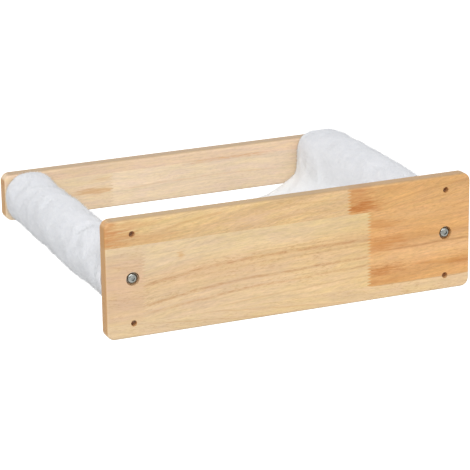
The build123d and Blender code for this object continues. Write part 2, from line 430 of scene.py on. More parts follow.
@dataclass(frozen=True)
class Rubberwood(Finish):
    """Sanded rubberwood stave under clear satin lacquer, in millimetres.

    It is pale straw to tan, with faint bands along the grain, thin brown growth lines, and open pores that
    show as short dark dashes. The lacquer gives a soft even shine. End grain soaks up more of it and turns
    brown. The top and bottom edges are darker than the faces: a browner tone, and painted shade where less
    light reaches them.

    Attributes:
        tones: Z of points up the stave, and their colour.
        drift: X of points along it, and the colour that multiplies the tones there.
        rise: X of points along it, and how far the grain rises there.
        veins: Its growth lines.
        stains: Its patches.
        wobble: How far the grain sways up and down.
        streak_contrast: How much its streaks lighten and darken it.
        pore_strength: How dark its pores are.
        pore_zone: Lowest and highest Z of the part with most pores.
        end_colour: Colour of its end grain.
        bore_colour: Colour of the walls of its screw holes.
        edge_tone_and_shade_colour: Colour of its top and bottom edges, browner and darkened by painted shade.
        edge_height: Half the height of its board.
        seed: A number that moves its noise, so that no two staves are alike.
        roughness: Roughness of its lacquer.
        grain_reach: Distance from the middle to the ends of the curves along the stave.
        tone_reach: The same for the tones up the stave.
        vein_reach: Highest and lowest place that a vein can have.
        rise_reach: The farthest that the grain can rise or fall.
        bore_reach: How far from its middle a screw hole's colour ends.
    """

    tones: tuple[tuple[float, str], ...]
    drift: tuple[tuple[float, str], ...] = ((-205, "#FFFFFF"), (205, "#FFFFFF"))
    rise: tuple[tuple[float, float], ...] = ((-205, 0), (205, 0))
    veins: tuple[Vein, ...] = ()
    stains: tuple[Stain, ...] = ()
    wobble: float = 2.2
    streak_contrast: float = 0.09
    pore_strength: float = 0.42
    pore_zone: tuple[float, float] = (-70, 70)
    end_colour: str = "#C4935B"
    bore_colour: str = "#D3A36E"
    edge_tone_and_shade_colour: str = "#AB8D69"
    edge_height: float = 62.5
    seed: float = 0.0
    roughness: float = 0.46
    grain_reach: float = 210.0
    tone_reach: float = 80.0
    vein_reach: float = 70.0
    rise_reach: float = 50.0
    bore_reach: float = 3.3

    def shader(self, tree: bpy.types.NodeTree, place: Socket) -> Socket:
        """Build the wood from its bands down to its pores, then its edges, ends and holes.

        Args:
            tree: The material's node tree.
            place: The place in metres.

        Returns:
            The shader.
        """
        scaled = add_node(tree, "VectorMath", {0: place, "Scale": 1 / MM}, operation="SCALE")
        face = add_node(tree, "SeparateXYZ", {0: scaled}).node.outputs
        across = self.across_grain(tree, scaled, face)
        grain = add_node(tree, "CombineXYZ", {0: face["X"], 1: face["Y"], 2: across})
        streak = grain_noise(tree, grain, (34.0, 4.0, 1.9), 4.0, 0.68, self.seed)
        broad = grain_noise(tree, grain, (110.0, 30.0, 9.0), 2.0, 0.5, self.seed)
        fibre = grain_noise(tree, grain, (7.0, 1.6, 1.15), 3.0, 0.7, self.seed)
        warm = grain_noise(tree, grain, (30.0, 12.0, 6.0), 3.0, 0.6, self.seed)
        pore = self.pores(tree, grain, across)
        colour = self.tone(tree, face["X"], across)
        for value, part in ((streak, 1.0), (broad, 0.6), (fibre, 1.0)):
            swing = self.streak_contrast * part
            lightness = add_node(tree, "MapRange", {"Value": value, "From Min": 0.3, "From Max": 0.7,
                                                    "To Min": 1 - swing, "To Max": 1 + swing}, clamp=False)
            colour = add_node(tree, "VectorMath", {0: colour, "Scale": lightness}, operation="SCALE")
        tint = add_node(tree, "ValToRGB", {0: warm}, stops=[(0.36, (0.985, 0.965, 0.99, 1.0)),
                                                           (0.64, (1.0, 1.0, 0.92, 1.0))])
        colour = add_node(tree, "VectorMath", {0: colour, 1: tint}, operation="MULTIPLY")
        marks = [(self.vein_mask(tree, scaled, face, vein, fibre), vein.colour) for vein in self.veins]
        marks += [(self.stain_mask(tree, face, stain, number), stain.colour)
                  for number, stain in enumerate(self.stains)]
        colour = self.lay_over(tree, colour, [(mask, shade(tone)) for mask, tone in marks])
        dark = add_node(tree, "VectorMath", {0: colour, 1: (0.70, 0.56, 0.42)}, operation="MULTIPLY")
        dash = add_node(tree, "Math", {0: pore, 1: self.pore_strength}, operation="MULTIPLY")
        half = BOARD_LENGTH / 2
        # Painted shade: the top and bottom edges are mixed towards a darker, browner colour.
        edge = rim_mask(tree, face["Z"], 0.0, (self.edge_height - 1.8, self.edge_height), (0.0, 0.72))
        end = rim_mask(tree, face["X"], 0.0, (half - 1.0, half - 0.2), (0.0, 0.85))
        bore = self.bore_mask(tree, face)
        colour = self.lay_over(tree, colour, [(dash, dark), (edge, shade(self.edge_tone_and_shade_colour)),
                                              (end, shade(self.end_colour)), (bore, shade(self.bore_colour))])
        dull = add_node(tree, "Math", {0: end, 1: bore}, operation="MAXIMUM")
        return self.lacquer(tree, colour, streak, fibre, pore, dull)

    def across_grain(self, tree: bpy.types.NodeTree, place: Socket, parts: bpy.types.NodeOutputs) -> Socket:
        """Give the height across the grain, which follows its rise and its wobble.

        Args:
            tree: The material's node tree.
            place: The place in millimetres.
            parts: Its X, Y and Z.

        Returns:
            The height in millimetres.
        """
        lift = self.height_along(tree, parts["X"], self.rise, self.rise_reach)
        sway = grain_noise(tree, place, (95.0, 60.0, 26.0), 1.0, 0.5, self.seed)
        sway = add_node(tree, "MapRange", {"Value": sway, "To Min": -self.wobble * 2,
                                           "To Max": self.wobble * 2})
        level = add_node(tree, "Math", {0: parts["Z"], 1: lift}, operation="SUBTRACT")
        return add_node(tree, "Math", {0: level, 1: sway})

    def height_along(self, tree: bpy.types.NodeTree, along: Socket, path: tuple[tuple[float, float], ...],
                     reach: float) -> Socket:
        """Read a height off a curve that runs along the stave.

        Args:
            tree: The material's node tree.
            along: Millimetres along the grain.
            path: X of points on the curve, and their height.
            reach: The farthest that the curve can rise or fall.

        Returns:
            The height in millimetres.
        """
        half = self.grain_reach
        share = add_node(tree, "MapRange", {"Value": along, "From Min": -half, "From Max": half})
        points = [((x + half) / (2 * half), 0.5 + z / (2 * reach)) for x, z in path]
        level = add_node(tree, "FloatCurve", {"Value": share}, points=points)
        return add_node(tree, "MapRange", {"Value": level, "To Min": -reach, "To Max": reach})

    def tone(self, tree: bpy.types.NodeTree, along: Socket, across: Socket) -> Socket:
        """Give the stave's colour from one edge to the other, with its drift from end to end.

        Args:
            tree: The material's node tree.
            along: Millimetres along the grain.
            across: Millimetres across the grain.

        Returns:
            The colour.
        """
        parts = []
        for value, half, points in ((across, self.tone_reach, self.tones),
                                    (along, self.grain_reach, self.drift)):
            share = add_node(tree, "MapRange", {"Value": value, "From Min": -half, "From Max": half})
            stops = [((at + half) / (2 * half), shade(colour)) for at, colour in points]
            parts.append(add_node(tree, "ValToRGB", {0: share}, stops=stops))
        return add_node(tree, "VectorMath", {0: parts[0], 1: parts[1]}, operation="MULTIPLY")

    def vein_mask(self, tree: bpy.types.NodeTree, place: Socket, parts: bpy.types.NodeOutputs, vein: Vein,
                  fibre: Socket) -> Socket:
        """Give where a vein lies: its own curve along the board, broken up by the fine grain.

        Args:
            tree: The material's node tree.
            place: The place in millimetres.
            parts: Its X, Y and Z.
            vein: The vein.
            fibre: The fine grain.

        Returns:
            The vein's strength, from 0 to 1.
        """
        level = self.height_along(tree, parts["X"], vein.path, self.vein_reach)
        sway = grain_noise(tree, place, (26.0, 20.0, 30.0), 2.0, 0.5, self.seed)
        sway = add_node(tree, "MapRange", {"Value": sway, "To Min": -vein.sway, "To Max": vein.sway})
        away = add_node(tree, "Math", {0: parts["Z"], 1: level}, operation="SUBTRACT")
        away = add_node(tree, "Math", {0: away, 1: sway})
        away = add_node(tree, "Math", {0: away}, operation="ABSOLUTE")
        line = add_node(tree, "MapRange", {"Value": away, "From Min": vein.width * 1.5, "From Max": 0.0},
                        interpolation_type="SMOOTHSTEP")
        low, high = vein.path[0][0], vein.path[-1][0]
        reach = (high - low) / 2
        kept = rim_mask(tree, parts["X"], (low + high) / 2, (reach + vein.fade, reach - vein.fade))
        dash = add_node(tree, "MapRange", {"Value": fibre, "From Min": 0.42, "From Max": 0.58,
                                           "To Min": vein.strength * (1 - vein.broken),
                                           "To Max": vein.strength})
        both = add_node(tree, "Math", {0: line, 1: kept}, operation="MULTIPLY")
        return add_node(tree, "Math", {0: both, 1: dash}, operation="MULTIPLY")

    def pores(self, tree: bpy.types.NodeTree, grain: Socket, across: Socket) -> Socket:
        """Give the open pores: dashes 3 to 6 mm long and under a millimetre high.

        Args:
            tree: The material's node tree.
            grain: Millimetres along the grain, through the board and across the grain.
            across: The last of them.

        Returns:
            The strength, from 0 to 1.
        """
        dash = grain_noise(tree, grain, (4.6, 1.6, 0.95), 2.0, 0.55, self.seed)
        cut = add_node(tree, "MapRange", {"Value": dash, "From Min": 0.53, "From Max": 0.66})
        patch = grain_noise(tree, grain, (60.0, 20.0, 10.0), 1.0, 0.5, self.seed)
        thick = add_node(tree, "MapRange", {"Value": patch, "From Min": 0.35, "From Max": 0.65,
                                            "To Min": 0.35})
        middle, reach = sum(self.pore_zone) / 2, (self.pore_zone[1] - self.pore_zone[0]) / 2
        zone = rim_mask(tree, across, middle, (reach, reach + 6), (1.0, 0.35))
        both = add_node(tree, "Math", {0: cut, 1: thick}, operation="MULTIPLY")
        return add_node(tree, "Math", {0: both, 1: zone}, operation="MULTIPLY")

    def stain_mask(self, tree: bpy.types.NodeTree, parts: bpy.types.NodeOutputs, stain: Stain,
                   number: int) -> Socket:
        """Give where a stain lies, with an edge that runs out along the grain.

        Args:
            tree: The material's node tree.
            parts: X, Y and Z in millimetres.
            stain: The stain.
            number: Its place among the stave's stains, which moves the noise of its edge.

        Returns:
            The stain's strength, from 0 to 1.
        """
        joined = add_node(tree, "CombineXYZ", {0: parts["X"], 2: parts["Z"]})
        moved = add_node(tree, "VectorMath", {0: joined, 1: (stain.x, 0.0, stain.z)}, operation="SUBTRACT")
        size = (1 / stain.half_length, 0.0, 1 / stain.half_height)
        shrunk = add_node(tree, "VectorMath", {0: moved, 1: size}, operation="MULTIPLY")
        away = add_node(tree, "VectorMath", {0: shrunk}, output="Value", operation="LENGTH")
        ragged = add_node(tree, "Mapping", {"Vector": joined, "Rotation": (0.0, 0.05, 0.0),
                                            "Scale": (1 / 24, 0, 1 / 2.0),
                                            "Location": (number * 3.7 + self.seed, 0, number * 1.9)})
        ragged = add_node(tree, "TexNoise", {"Vector": ragged, "Scale": 1.0, "Detail": 4.0,
                                             "Roughness": 0.65})
        ragged = add_node(tree, "MapRange", {"Value": ragged, "To Min": -2.2, "To Max": 2.2})
        edge = add_node(tree, "Math", {0: away, 1: ragged})
        return add_node(tree, "MapRange", {"Value": edge, "From Min": 1.4, "From Max": 0.1,
                                           "To Max": stain.strength}, interpolation_type="SMOOTHSTEP")

    def bore_mask(self, tree: bpy.types.NodeTree, parts: bpy.types.NodeOutputs) -> Socket:
        """Give where the walls of the screw holes are, which the drill leaves rough and brown.

        Args:
            tree: The material's node tree.
            parts: X, Y and Z in millimetres.

        Returns:
            The strength, which is 0 outside the holes.
        """
        x, z = (add_node(tree, "Math", {0: parts[axis]}, operation="ABSOLUTE") for axis in "XZ")
        flat = add_node(tree, "CombineXYZ", {0: x, 1: z})
        away = add_node(tree, "VectorMath", {0: flat, 1: (*SCREW_HOLE, 0.0)}, output="Value",
                        operation="DISTANCE")
        inside = add_node(tree, "Math", {0: away, 1: self.bore_reach}, operation="LESS_THAN")
        return add_node(tree, "Math", {0: inside, 1: 0.85}, operation="MULTIPLY")

    @staticmethod
    def lay_over(tree: bpy.types.NodeTree, colour: Socket, layers: list[tuple[Socket, object]]) -> Socket:
        """Lay colours over one another.

        Args:
            tree: The material's node tree.
            colour: The colour underneath.
            layers: The mask of each layer and its colour, from the lowest up.

        Returns:
            The colour on top.
        """
        for mask, layer in layers:
            colour = add_node(tree, "Mix", {"Factor": mask, 6: colour, 7: layer}, output=2, data_type="RGBA")
        return colour

    def lacquer(self, tree: bpy.types.NodeTree, colour: Socket, streak: Socket, fibre: Socket,
                pore: Socket, dull: Socket) -> Socket:
        """Finish the material with satin lacquer that lets the grain be felt.

        Args:
            tree: The material's node tree.
            colour: The wood's colour.
            streak: The broad grain.
            fibre: The fine grain.
            pore: The pores.
            dull: Where the lacquer has soaked in and hardly shines.

        Returns:
            The shader.
        """
        height = add_node(tree, "Math", {0: fibre, 1: pore}, operation="SUBTRACT")
        bump = add_node(tree, "Bump", {"Height": height, "Strength": 0.35, "Distance": 0.12 * MM})
        rough = add_node(tree, "MapRange", {"Value": streak, "From Min": 0.3, "From Max": 0.7,
                                            "To Min": self.roughness - 0.05,
                                            "To Max": self.roughness + 0.07})
        shine = add_node(tree, "MapRange", {"Value": dull, "To Min": 0.5, "To Max": 0.08})
        return add_node(tree, "BsdfPrincipled", {"Base Color": colour, "Roughness": rough, "Normal": bump,
                                                 "IOR": 1.47, "Specular IOR Level": shine})


@dataclass
class Board:
    """A board glued up from staves, which the model holds as one node each.

    Attributes:
        staves: The wood of each stave, by its node's name.
    """

    staves: dict[str, Rubberwood]

    def build(self) -> None:
        """Give every stave its own wood."""
        for node, wood in self.staves.items():
            dress(node, wood.material())


@dataclass(frozen=True)
class DowelWood(Finish):
    """Turned and sanded rubberwood dowel, waxed but not lacquered: pale and dry, with grain along the rod.

    Fine streaks run its whole length and short pores lie in them. Its ends show browner end grain.

    Attributes:
        light: Colour of the pale streaks.
        dark: Colour of the dark streaks.
        pore: Colour of the pores.
        end: Colour of the end grain.
        ends: Y of its two ends in millimetres.
        end_depth: How deep the end grain's colour reaches, in millimetres.
    """

    name: str = "rubberwood_dowel"
    light: str = "#E7C79B"
    dark: str = "#D3A873"
    pore: str = "#A9784A"
    end: str = "#C0905E"
    ends: tuple[float, float] = (BOARD_THICKNESS - HAMMOCK_DEPTH, -BOARD_THICKNESS)
    end_depth: float = 1.5

    def shader(self, tree: bpy.types.NodeTree, place: Socket) -> Socket:
        """Build the wood.

        Args:
            tree: The material's node tree.
            place: The place in metres.

        Returns:
            The shader.
        """
        place = add_node(tree, "VectorMath", {0: place, "Scale": 1 / MM}, operation="SCALE")
        streak = grain_noise(tree, place, (3.0, 70.0, 3.0), 4.0)
        fibre = grain_noise(tree, place, (1.1, 9.0, 1.1), 3.0)
        tint = add_node(tree, "ValToRGB", {0: streak}, stops=[(0.32, shade(self.dark)),
                                                             (0.62, shade(self.light))])
        dash = add_node(tree, "MapRange", {"Value": fibre, "From Min": 0.55, "From Max": 0.68, "To Max": 0.4})
        y = add_node(tree, "SeparateXYZ", {0: place}, output="Y")
        half = (self.ends[1] - self.ends[0]) / 2
        tip = rim_mask(tree, y, sum(self.ends) / 2, (half - self.end_depth, half))
        colour = Rubberwood.lay_over(tree, tint, [(dash, shade(self.pore)), (tip, shade(self.end))])
        rough = add_node(tree, "MapRange", {"Value": streak, "To Min": 0.52, "To Max": 0.68})
        bump = add_node(tree, "Bump", {"Height": fibre, "Strength": 0.3, "Distance": 0.12 * MM})
        return add_node(tree, "BsdfPrincipled", {"Base Color": colour, "Roughness": rough, "Normal": bump})


def dress(node: str, material: bpy.types.Material) -> None:
    """Put a material on a node of the model.

    Args:
        node: The node's name.
        material: The material.
    """
    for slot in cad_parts[node].material_slots:
        slot.material = material


WALL_BOARD = Board({
    "wall_board_top_stave_1": Rubberwood(
        name="rubberwood_wall_top_tan",
        tones=((-80, "#DEAD74"), (30, "#DEAD74"), (46, "#DCAA6E"), (56, "#E0AF75"), (66, "#E2B47A")),
        rise=((-205, 22), (-150, 12), (-95, 0), (-60, -6)),
        veins=(Vein(((-204, 56), (-150, 50), (-100, 40)), 1.2, "#C58B50", 0.55),
               Vein(((-190, 44), (-140, 39), (-98, 36)), 1.0, "#C78D52", 0.5)),
        stains=(Stain(-78, 41, 24, 7, "#BC702C", 0.9), Stain(-72, 53, 18, 7, "#C58145", 0.6),
                Stain(-72, 60, 18, 3, "#BE7A40", 0.6), Stain(-112, 57, 22, 4, "#D29A5E", 0.5)),
        streak_contrast=0.12, seed=1.0),
    "wall_board_top_stave_2": Rubberwood(
        name="rubberwood_wall_top_straw",
        tones=((-80, "#DDBE90"), (34, "#DCB98A"), (44, "#DFBD8E"), (54, "#DCB887"), (64, "#E4C491")),
        rise=((-70, 14), (0, 6), (80, -4), (140, -12), (205, -16)),
        veins=(Vein(((78, 57), (112, 53), (145, 46)), 1.8, "#C99C66", 0.7),
               Vein(((-55, 40), (0, 43), (60, 38)), 1.0, "#CDA26D", 0.5),
               Vein(((-60, 52), (-10, 54), (40, 50)), 1.0, "#D0A46C", 0.45)),
        stains=(Stain(208, 48, 30, 18, "#CB8A50", 0.85), Stain(160, 40, 36, 6, "#D6A470", 0.5),
                Stain(172, 56, 30, 4, "#D5A673", 0.5), Stain(48, 46, 26, 7, "#E0BB9A", 0.5)),
        streak_contrast=0.11, seed=2.0),
    "wall_board_middle_stave_1": Rubberwood(
        name="rubberwood_wall_middle_orange",
        tones=((-50, "#E1AB6F"), (-34, "#E0A96B"), (-18, "#E9B983"), (0, "#E1AC70"), (12, "#E2AD72"),
               (34, "#E2B076")),
        rise=((-205, 3), (-87, -3)),
        veins=(Vein(((-204, -8), (-160, -8.5), (-112, -10)), 1.3, "#AE743E", 0.7, 0.5),
               Vein(((-204, 32), (-150, 24), (-100, 16)), 0.9, "#C68D54", 0.5),
               Vein(((-204, -33), (-170, -31), (-140, -29)), 1.6, "#C98745", 0.6),
               Vein(((-190, 2), (-150, 1), (-110, 3)), 1.2, "#CB8E50", 0.5)),
        stains=(Stain(-98, 20, 20, 7, "#C98644", 0.55), Stain(-104, -1, 30, 9, "#CC8543", 0.65),
                Stain(-101, -31, 24, 6, "#C37C3A", 0.7), Stain(-106, -43, 26, 3, "#CB8B4E", 0.6),
                Stain(-200, -32, 22, 4, "#C47F3B", 0.6), Stain(-150, 5, 50, 5, "#D39A5C", 0.45),
                Stain(-140, 26, 36, 4, "#E8B982", 0.5)),
        streak_contrast=0.11, seed=3.0),
    "wall_board_middle_stave_2": Rubberwood(
        name="rubberwood_wall_middle_straw",
        tones=((-50, "#E9CBA2"), (-15, "#E8C79E"), (5, "#E4C194"), (22, "#E7CBA3"), (40, "#E7CBA1")),
        drift=((-87, "#FCF9EA"), (20, "#FFFFFC"), (120, "#FBFCFF"), (164, "#F8FAFF")),
        rise=((-205, 5), (-87, 4), (-4, 0), (100, -5), (164, -13), (205, -22)),
        veins=(Vein(((-90, 4.5), (-17, 5), (60, 3.5), (100, 0.5), (130, -3.5), (162, -9)), 1.9, "#BE8656",
                    0.72, 0.85),
               Vein(((-90, -13), (-4, -16), (60, -18), (100, -21), (162, -30)), 1.8, "#BD885A", 0.66, 0.85),
               Vein(((-90, -22), (-4, -26), (60, -28.5), (100, -32), (162, -39)), 1.6, "#C08D5F", 0.6,
                    0.85),
               Vein(((-90, 0), (-17, -1), (60, -3), (120, -9)), 0.9, "#C79B6C", 0.5),
               Vein(((-90, 9), (-20, 10), (50, 9)), 0.9, "#CFA473", 0.5),
               Vein(((-90, -33), (0, -38), (80, -42)), 0.9, "#CBA173", 0.5)),
        stains=(Stain(124, 18, 4.0, 4.0, "#D09A58", 0.5), Stain(96, -4, 60, 12, "#DDB890", 0.35)),
        pore_strength=0.55, pore_zone=(-28, 10), seed=4.0),
    "wall_board_middle_stave_3": Rubberwood(
        name="rubberwood_wall_middle_pink",
        tones=((-50, "#E3C59D"), (-30, "#DEBD99"), (0, "#DCBA97"), (20, "#DBBC9A"), (30, "#DFC5A0"),
               (40, "#E0C6A0")),
        veins=(Vein(((166, 14), (185, 13), (202, 16)), 1.0, "#CBA079", 0.5),
               Vein(((166, -22), (185, -21), (202, -19)), 0.9, "#CBA079", 0.45)),
        streak_contrast=0.07, pore_strength=0.3, seed=5.0),
    "wall_board_bottom_stave_1": Rubberwood(
        name="rubberwood_wall_bottom_pale",
        tones=((-70, "#E6C6A0"), (-55, "#E8C9A4"), (-47, "#E7C7A3")),
        drift=((-205, "#FFFFF4"), (10, "#FFFFF2"), (140, "#FBFFFF"), (205, "#FBFFFF")),
        rise=((-205, -10), (-90, -5), (0, 2), (100, 8), (205, 14)),
        veins=(Vein(((-204, -47.3), (-150, -47.4), (-88, -47.2)), 0.8, "#BE8A58", 0.7, 0.4),
               Vein(((-60, -60), (0, -55), (60, -50), (110, -46)), 0.9, "#CFA273", 0.5),
               Vein(((20, -62), (90, -56), (160, -50)), 0.9, "#CBA071", 0.5)),
        streak_contrast=0.08, seed=6.0),
})

FRONT_BOARD = Board({
    "front_board_top_stave_1": Rubberwood(
        name="rubberwood_front_top_pale",
        tones=((10, "#EBCFB1"), (27, "#EBD0B1")),
        veins=(Vein(((-110, 14.5), (-60, 15), (-20, 14.5)), 1.4, "#D3A070", 0.7),),
        streak_contrast=0.07, pore_strength=0.26, end_colour="#BC884F", edge_height=26.5, seed=7.0),
    "front_board_bottom_stave_1": Rubberwood(
        name="rubberwood_front_bottom_pink",
        tones=((-27, "#F5DEC0"), (14, "#F9E3C6")),
        drift=((-70, "#EDEBEA"), (40, "#F7F6F5"), (150, "#FFFFFF")),
        veins=(Vein(((-115, 12.5), (-60, 13), (-10, 12)), 1.2, "#D5A377", 0.6),
               Vein(((-120, -6), (-40, -4), (60, -7)), 1.0, "#DDB58B", 0.5)),
        # Two patches at its end make it darker and browner towards the lower corner, the small one almost
        # black.
        stains=(Stain(206, -14, 9, 13, "#BC8146", 0.75), Stain(206, -17, 2.4, 4.5, "#6E4A30", 0.85)),
        streak_contrast=0.07, pore_strength=0.26, end_colour="#BC884F", edge_height=26.5, seed=8.0),
    "front_board_bottom_stave_2": Rubberwood(
        name="rubberwood_front_bottom_tan",
        tones=((-27, "#EDD4B3"), (14, "#EFD8B6")),
        stains=(Stain(100, -5, 28, 4.5, "#D5A067", 0.6), Stain(88, 8, 16, 3, "#E0B98A", 0.5)),
        streak_contrast=0.07, pore_strength=0.26, edge_height=26.5, seed=9.0),
})


@dataclass(frozen=True)
class TurnedSteel(Finish):
    """Zinc-plated or chromated steel, turned and tumbled: bright, slightly clouded, with faint tool marks.

    Attributes:
        colour: Its colour where it is bright.
        dark: Its colour in the clouds.
        roughness: Its roughness.
    """

    colour: str
    dark: str
    roughness: float

    def shader(self, tree: bpy.types.NodeTree, place: Socket) -> Socket:
        """Build the metal.

        Args:
            tree: The material's node tree.
            place: The place in metres.

        Returns:
            The shader.
        """
        cloud = add_node(tree, "TexNoise", {"Vector": place, "Scale": 420.0, "Detail": 3.0})
        tint = add_node(tree, "ValToRGB", {0: cloud}, stops=[(0.35, shade(self.dark)),
                                                            (0.65, shade(self.colour))])
        rough = add_node(tree, "MapRange", {"Value": cloud, "From Min": 0.3, "From Max": 0.7,
                                            "To Min": self.roughness * 0.8, "To Max": self.roughness * 1.3})
        fine = add_node(tree, "TexNoise", {"Vector": place, "Scale": 2600.0, "Detail": 1.0})
        bump = add_node(tree, "Bump", {"Height": fine, "Strength": 0.12, "Distance": 0.05 * MM})
        return add_node(tree, "BsdfPrincipled", {"Base Color": tint, "Metallic": 1.0, "Roughness": rough,
                                                 "Normal": bump})


class Seat(Enum):
    """Where each bolt sits: its X and its seat's Y in millimetres, and 1 where it points to the wall."""

    WALL_RIGHT = (ROD_X, -SEAT_DEPTH, 1)
    WALL_LEFT = (-ROD_X, -SEAT_DEPTH, 1)
    FRONT_RIGHT = (ROD_X, SEAT_DEPTH - HAMMOCK_DEPTH, -1)
    FRONT_LEFT = (-ROD_X, SEAT_DEPTH - HAMMOCK_DEPTH, -1)


@dataclass(frozen=True)
class Fitting:
    """A turned steel fitting. It is modelled once along Z, with its seat at Z = 0, and copied to each seat.

    Attributes:
        finish: Its steel.
        node: Start of the names of the nodes that the copies replace.
        piece: Start of the copies' names.
    """

    finish: TurnedSteel
    node: str
    piece: str

    def build(self) -> None:
        """Model the fitting and put a copy in each of its places."""
        model = self.model()
        steel = self.finish.material()
        for seat in Seat:
            x, y, outward = seat.value
            name = f"{self.piece}_{seat.name.lower()}"
            copy = bpy.data.objects.new(name, model.data.copy())
            bpy.context.scene.collection.objects.link(copy)
            copy.data.name = name
            copy.location = (x * MM, y * MM, 0.0)
            copy.rotation_euler = (-outward * math.pi / 2, 0.0, 0.0)
            settle(copy)
            copy.data.materials.clear()
            copy.data.materials.append(steel)
            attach(copy, "root")
            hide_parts(f"{self.node}_{seat.name.lower()}")
            LOG.info("%s in place", name)
        bpy.data.objects.remove(model)

    def model(self) -> Piece:
        """Model the fitting.

        Returns:
            The fitting along Z.
        """
        raise NotImplementedError(f"{self.piece} has no model")

    @staticmethod
    def cut(piece: Piece, tool: Piece) -> None:
        """Cut one piece out of another and throw the tool away.

        Args:
            piece: The piece that is cut.
            tool: The solid that is taken out of it.
        """
        settle(tool)
        apply_modifier(piece, "BOOLEAN", object=tool, operation="DIFFERENCE", solver="EXACT")
        bpy.data.objects.remove(tool)

    @staticmethod
    def soften(piece: Piece, **bevel: object) -> None:
        """Round a piece's sharp edges and shade it smooth.

        Args:
            piece: The piece.
            bevel: Settings of the bevel.
        """
        apply_modifier(piece, "BEVEL", limit_method="ANGLE", **bevel)
        select_only(piece)
        bpy.ops.object.shade_smooth_by_angle(angle=0.6)


@dataclass(frozen=True)
class FurnitureScrew(Fitting):
    """A furniture screw, M6, with a wide low head and a drilled and broached hexagon socket, in millimetres.

    Attributes:
        head: Radius of the head.
        profile: Radius and height of points up the head: its rim, its turned shoulder and its low crown.
        height: Height of the head.
        socket: The socket's size across flats.
        depth: Depth of the socket's straight part.
        point: Depth of the drill's point below that.
        thread: Radius of the thread's crests.
        root: Radius of its grooves.
        pitch: Distance from one groove to the next.
        length: Length below the head.
        margin: How far the cutting tools run past what they cut, as a share of their size.
    """

    head: float = 5.7
    profile: tuple[tuple[float, float], ...] = (
        (5.68, 0.45), (5.58, 0.7), (5.4, 0.93), (5.0, 1.3), (4.6, 1.66), (4.35, 1.86), (4.05, 2.06),
        (3.6, 2.28), (3.1, 2.46), (2.7, 2.57), (2.5, 2.6))
    height: float = 2.6
    socket: float = 4.0
    depth: float = 1.7
    point: float = 1.2
    thread: float = 2.98
    root: float = 2.45
    pitch: float = 1.0
    length: float = 25.0
    margin: float = 0.12

    def outline(self) -> list[tuple[float, float]]:
        """Give the turned outline, from the tip up to the flat of the head.

        Returns:
            Radius and height of each point.
        """
        points = [(self.root - 0.3, -self.length)]
        level = -self.length + 0.7
        while level < -self.pitch * 3:
            points += [(self.thread, level), (self.root, level + self.pitch / 2)]
            level += self.pitch
        points += [(self.thread - 0.1, level), (self.thread - 0.1, -0.4), (self.thread + 0.2, 0.0)]
        points += [(self.head - 0.25, 0.0), (self.head, 0.25)]
        points += self.profile
        return points

    def model(self) -> Piece:
        """Turn the screw ring by ring, then cut its socket.

        Returns:
            The screw along Z.
        """
        points = self.outline()
        radius, level = points[0]
        bpy.ops.mesh.primitive_circle_add(vertices=36, radius=radius * MM, fill_type="NGON",
                                          location=(0.0, 0.0, level * MM))
        screw = bpy.context.object
        settle(screw)
        bpy.ops.object.mode_set(mode="EDIT")
        bpy.ops.mesh.select_all(action="SELECT")
        for (wide, low), (next_wide, high) in zip(points, points[1:]):
            share = next_wide / wide
            bpy.ops.mesh.extrude_region_move(TRANSFORM_OT_translate={"value": (0.0, 0.0, (high - low) * MM)})
            bpy.ops.transform.resize(value=(share, share, 1.0), center_override=(0.0, 0.0, high * MM))
        bpy.ops.mesh.select_all(action="SELECT")
        bpy.ops.mesh.normals_make_consistent(inside=False)
        bpy.ops.object.mode_set(mode="OBJECT")
        across_corners = self.socket / math.sqrt(3.0)
        top = self.height + 1.0
        floor = self.height - self.depth
        bpy.ops.mesh.primitive_cylinder_add(vertices=6, radius=across_corners * MM, depth=(top - floor) * MM,
                                            location=(0.0, 0.0, (top + floor) / 2 * MM))
        self.cut(screw, bpy.context.object)
        scale = 1 + self.margin
        middle = floor + self.point * (self.margin - scale / 2)
        bpy.ops.mesh.primitive_cone_add(vertices=24, radius1=0.0, radius2=self.socket / 2 * scale * MM,
                                        depth=self.point * scale * MM, location=(0.0, 0.0, middle * MM))
        self.cut(screw, bpy.context.object)
        self.soften(screw, width=0.12 * MM, segments=2, angle_limit=0.75)
        return screw


@dataclass(frozen=True)
class PlainWasher(Fitting):
    """A stamped plain washer with a rounded upper edge, in millimetres.

    Attributes:
        radius: Its outer radius.
        bore: Its inner radius.
        thickness: Its thickness.
        round: Radius of its upper outer edge.
    """

    radius: float = 6.25
    bore: float = 3.2
    thickness: float = 1.6
    round: float = 0.5

    def model(self) -> Piece:
        """Model the washer along Z, with its upper face at Z = 0.

        Returns:
            The washer.
        """
        bpy.ops.mesh.primitive_cylinder_add(vertices=48, radius=self.radius * MM, depth=self.thickness * MM,
                                            location=(0.0, 0.0, -self.thickness / 2 * MM))
        washer = bpy.context.object
        settle(washer)
        bpy.ops.mesh.primitive_cylinder_add(vertices=32, radius=self.bore * MM, depth=self.thickness * 3 * MM)
        self.cut(washer, bpy.context.object)
        self.soften(washer, width=self.round * MM, segments=4, angle_limit=0.8)
        return washer


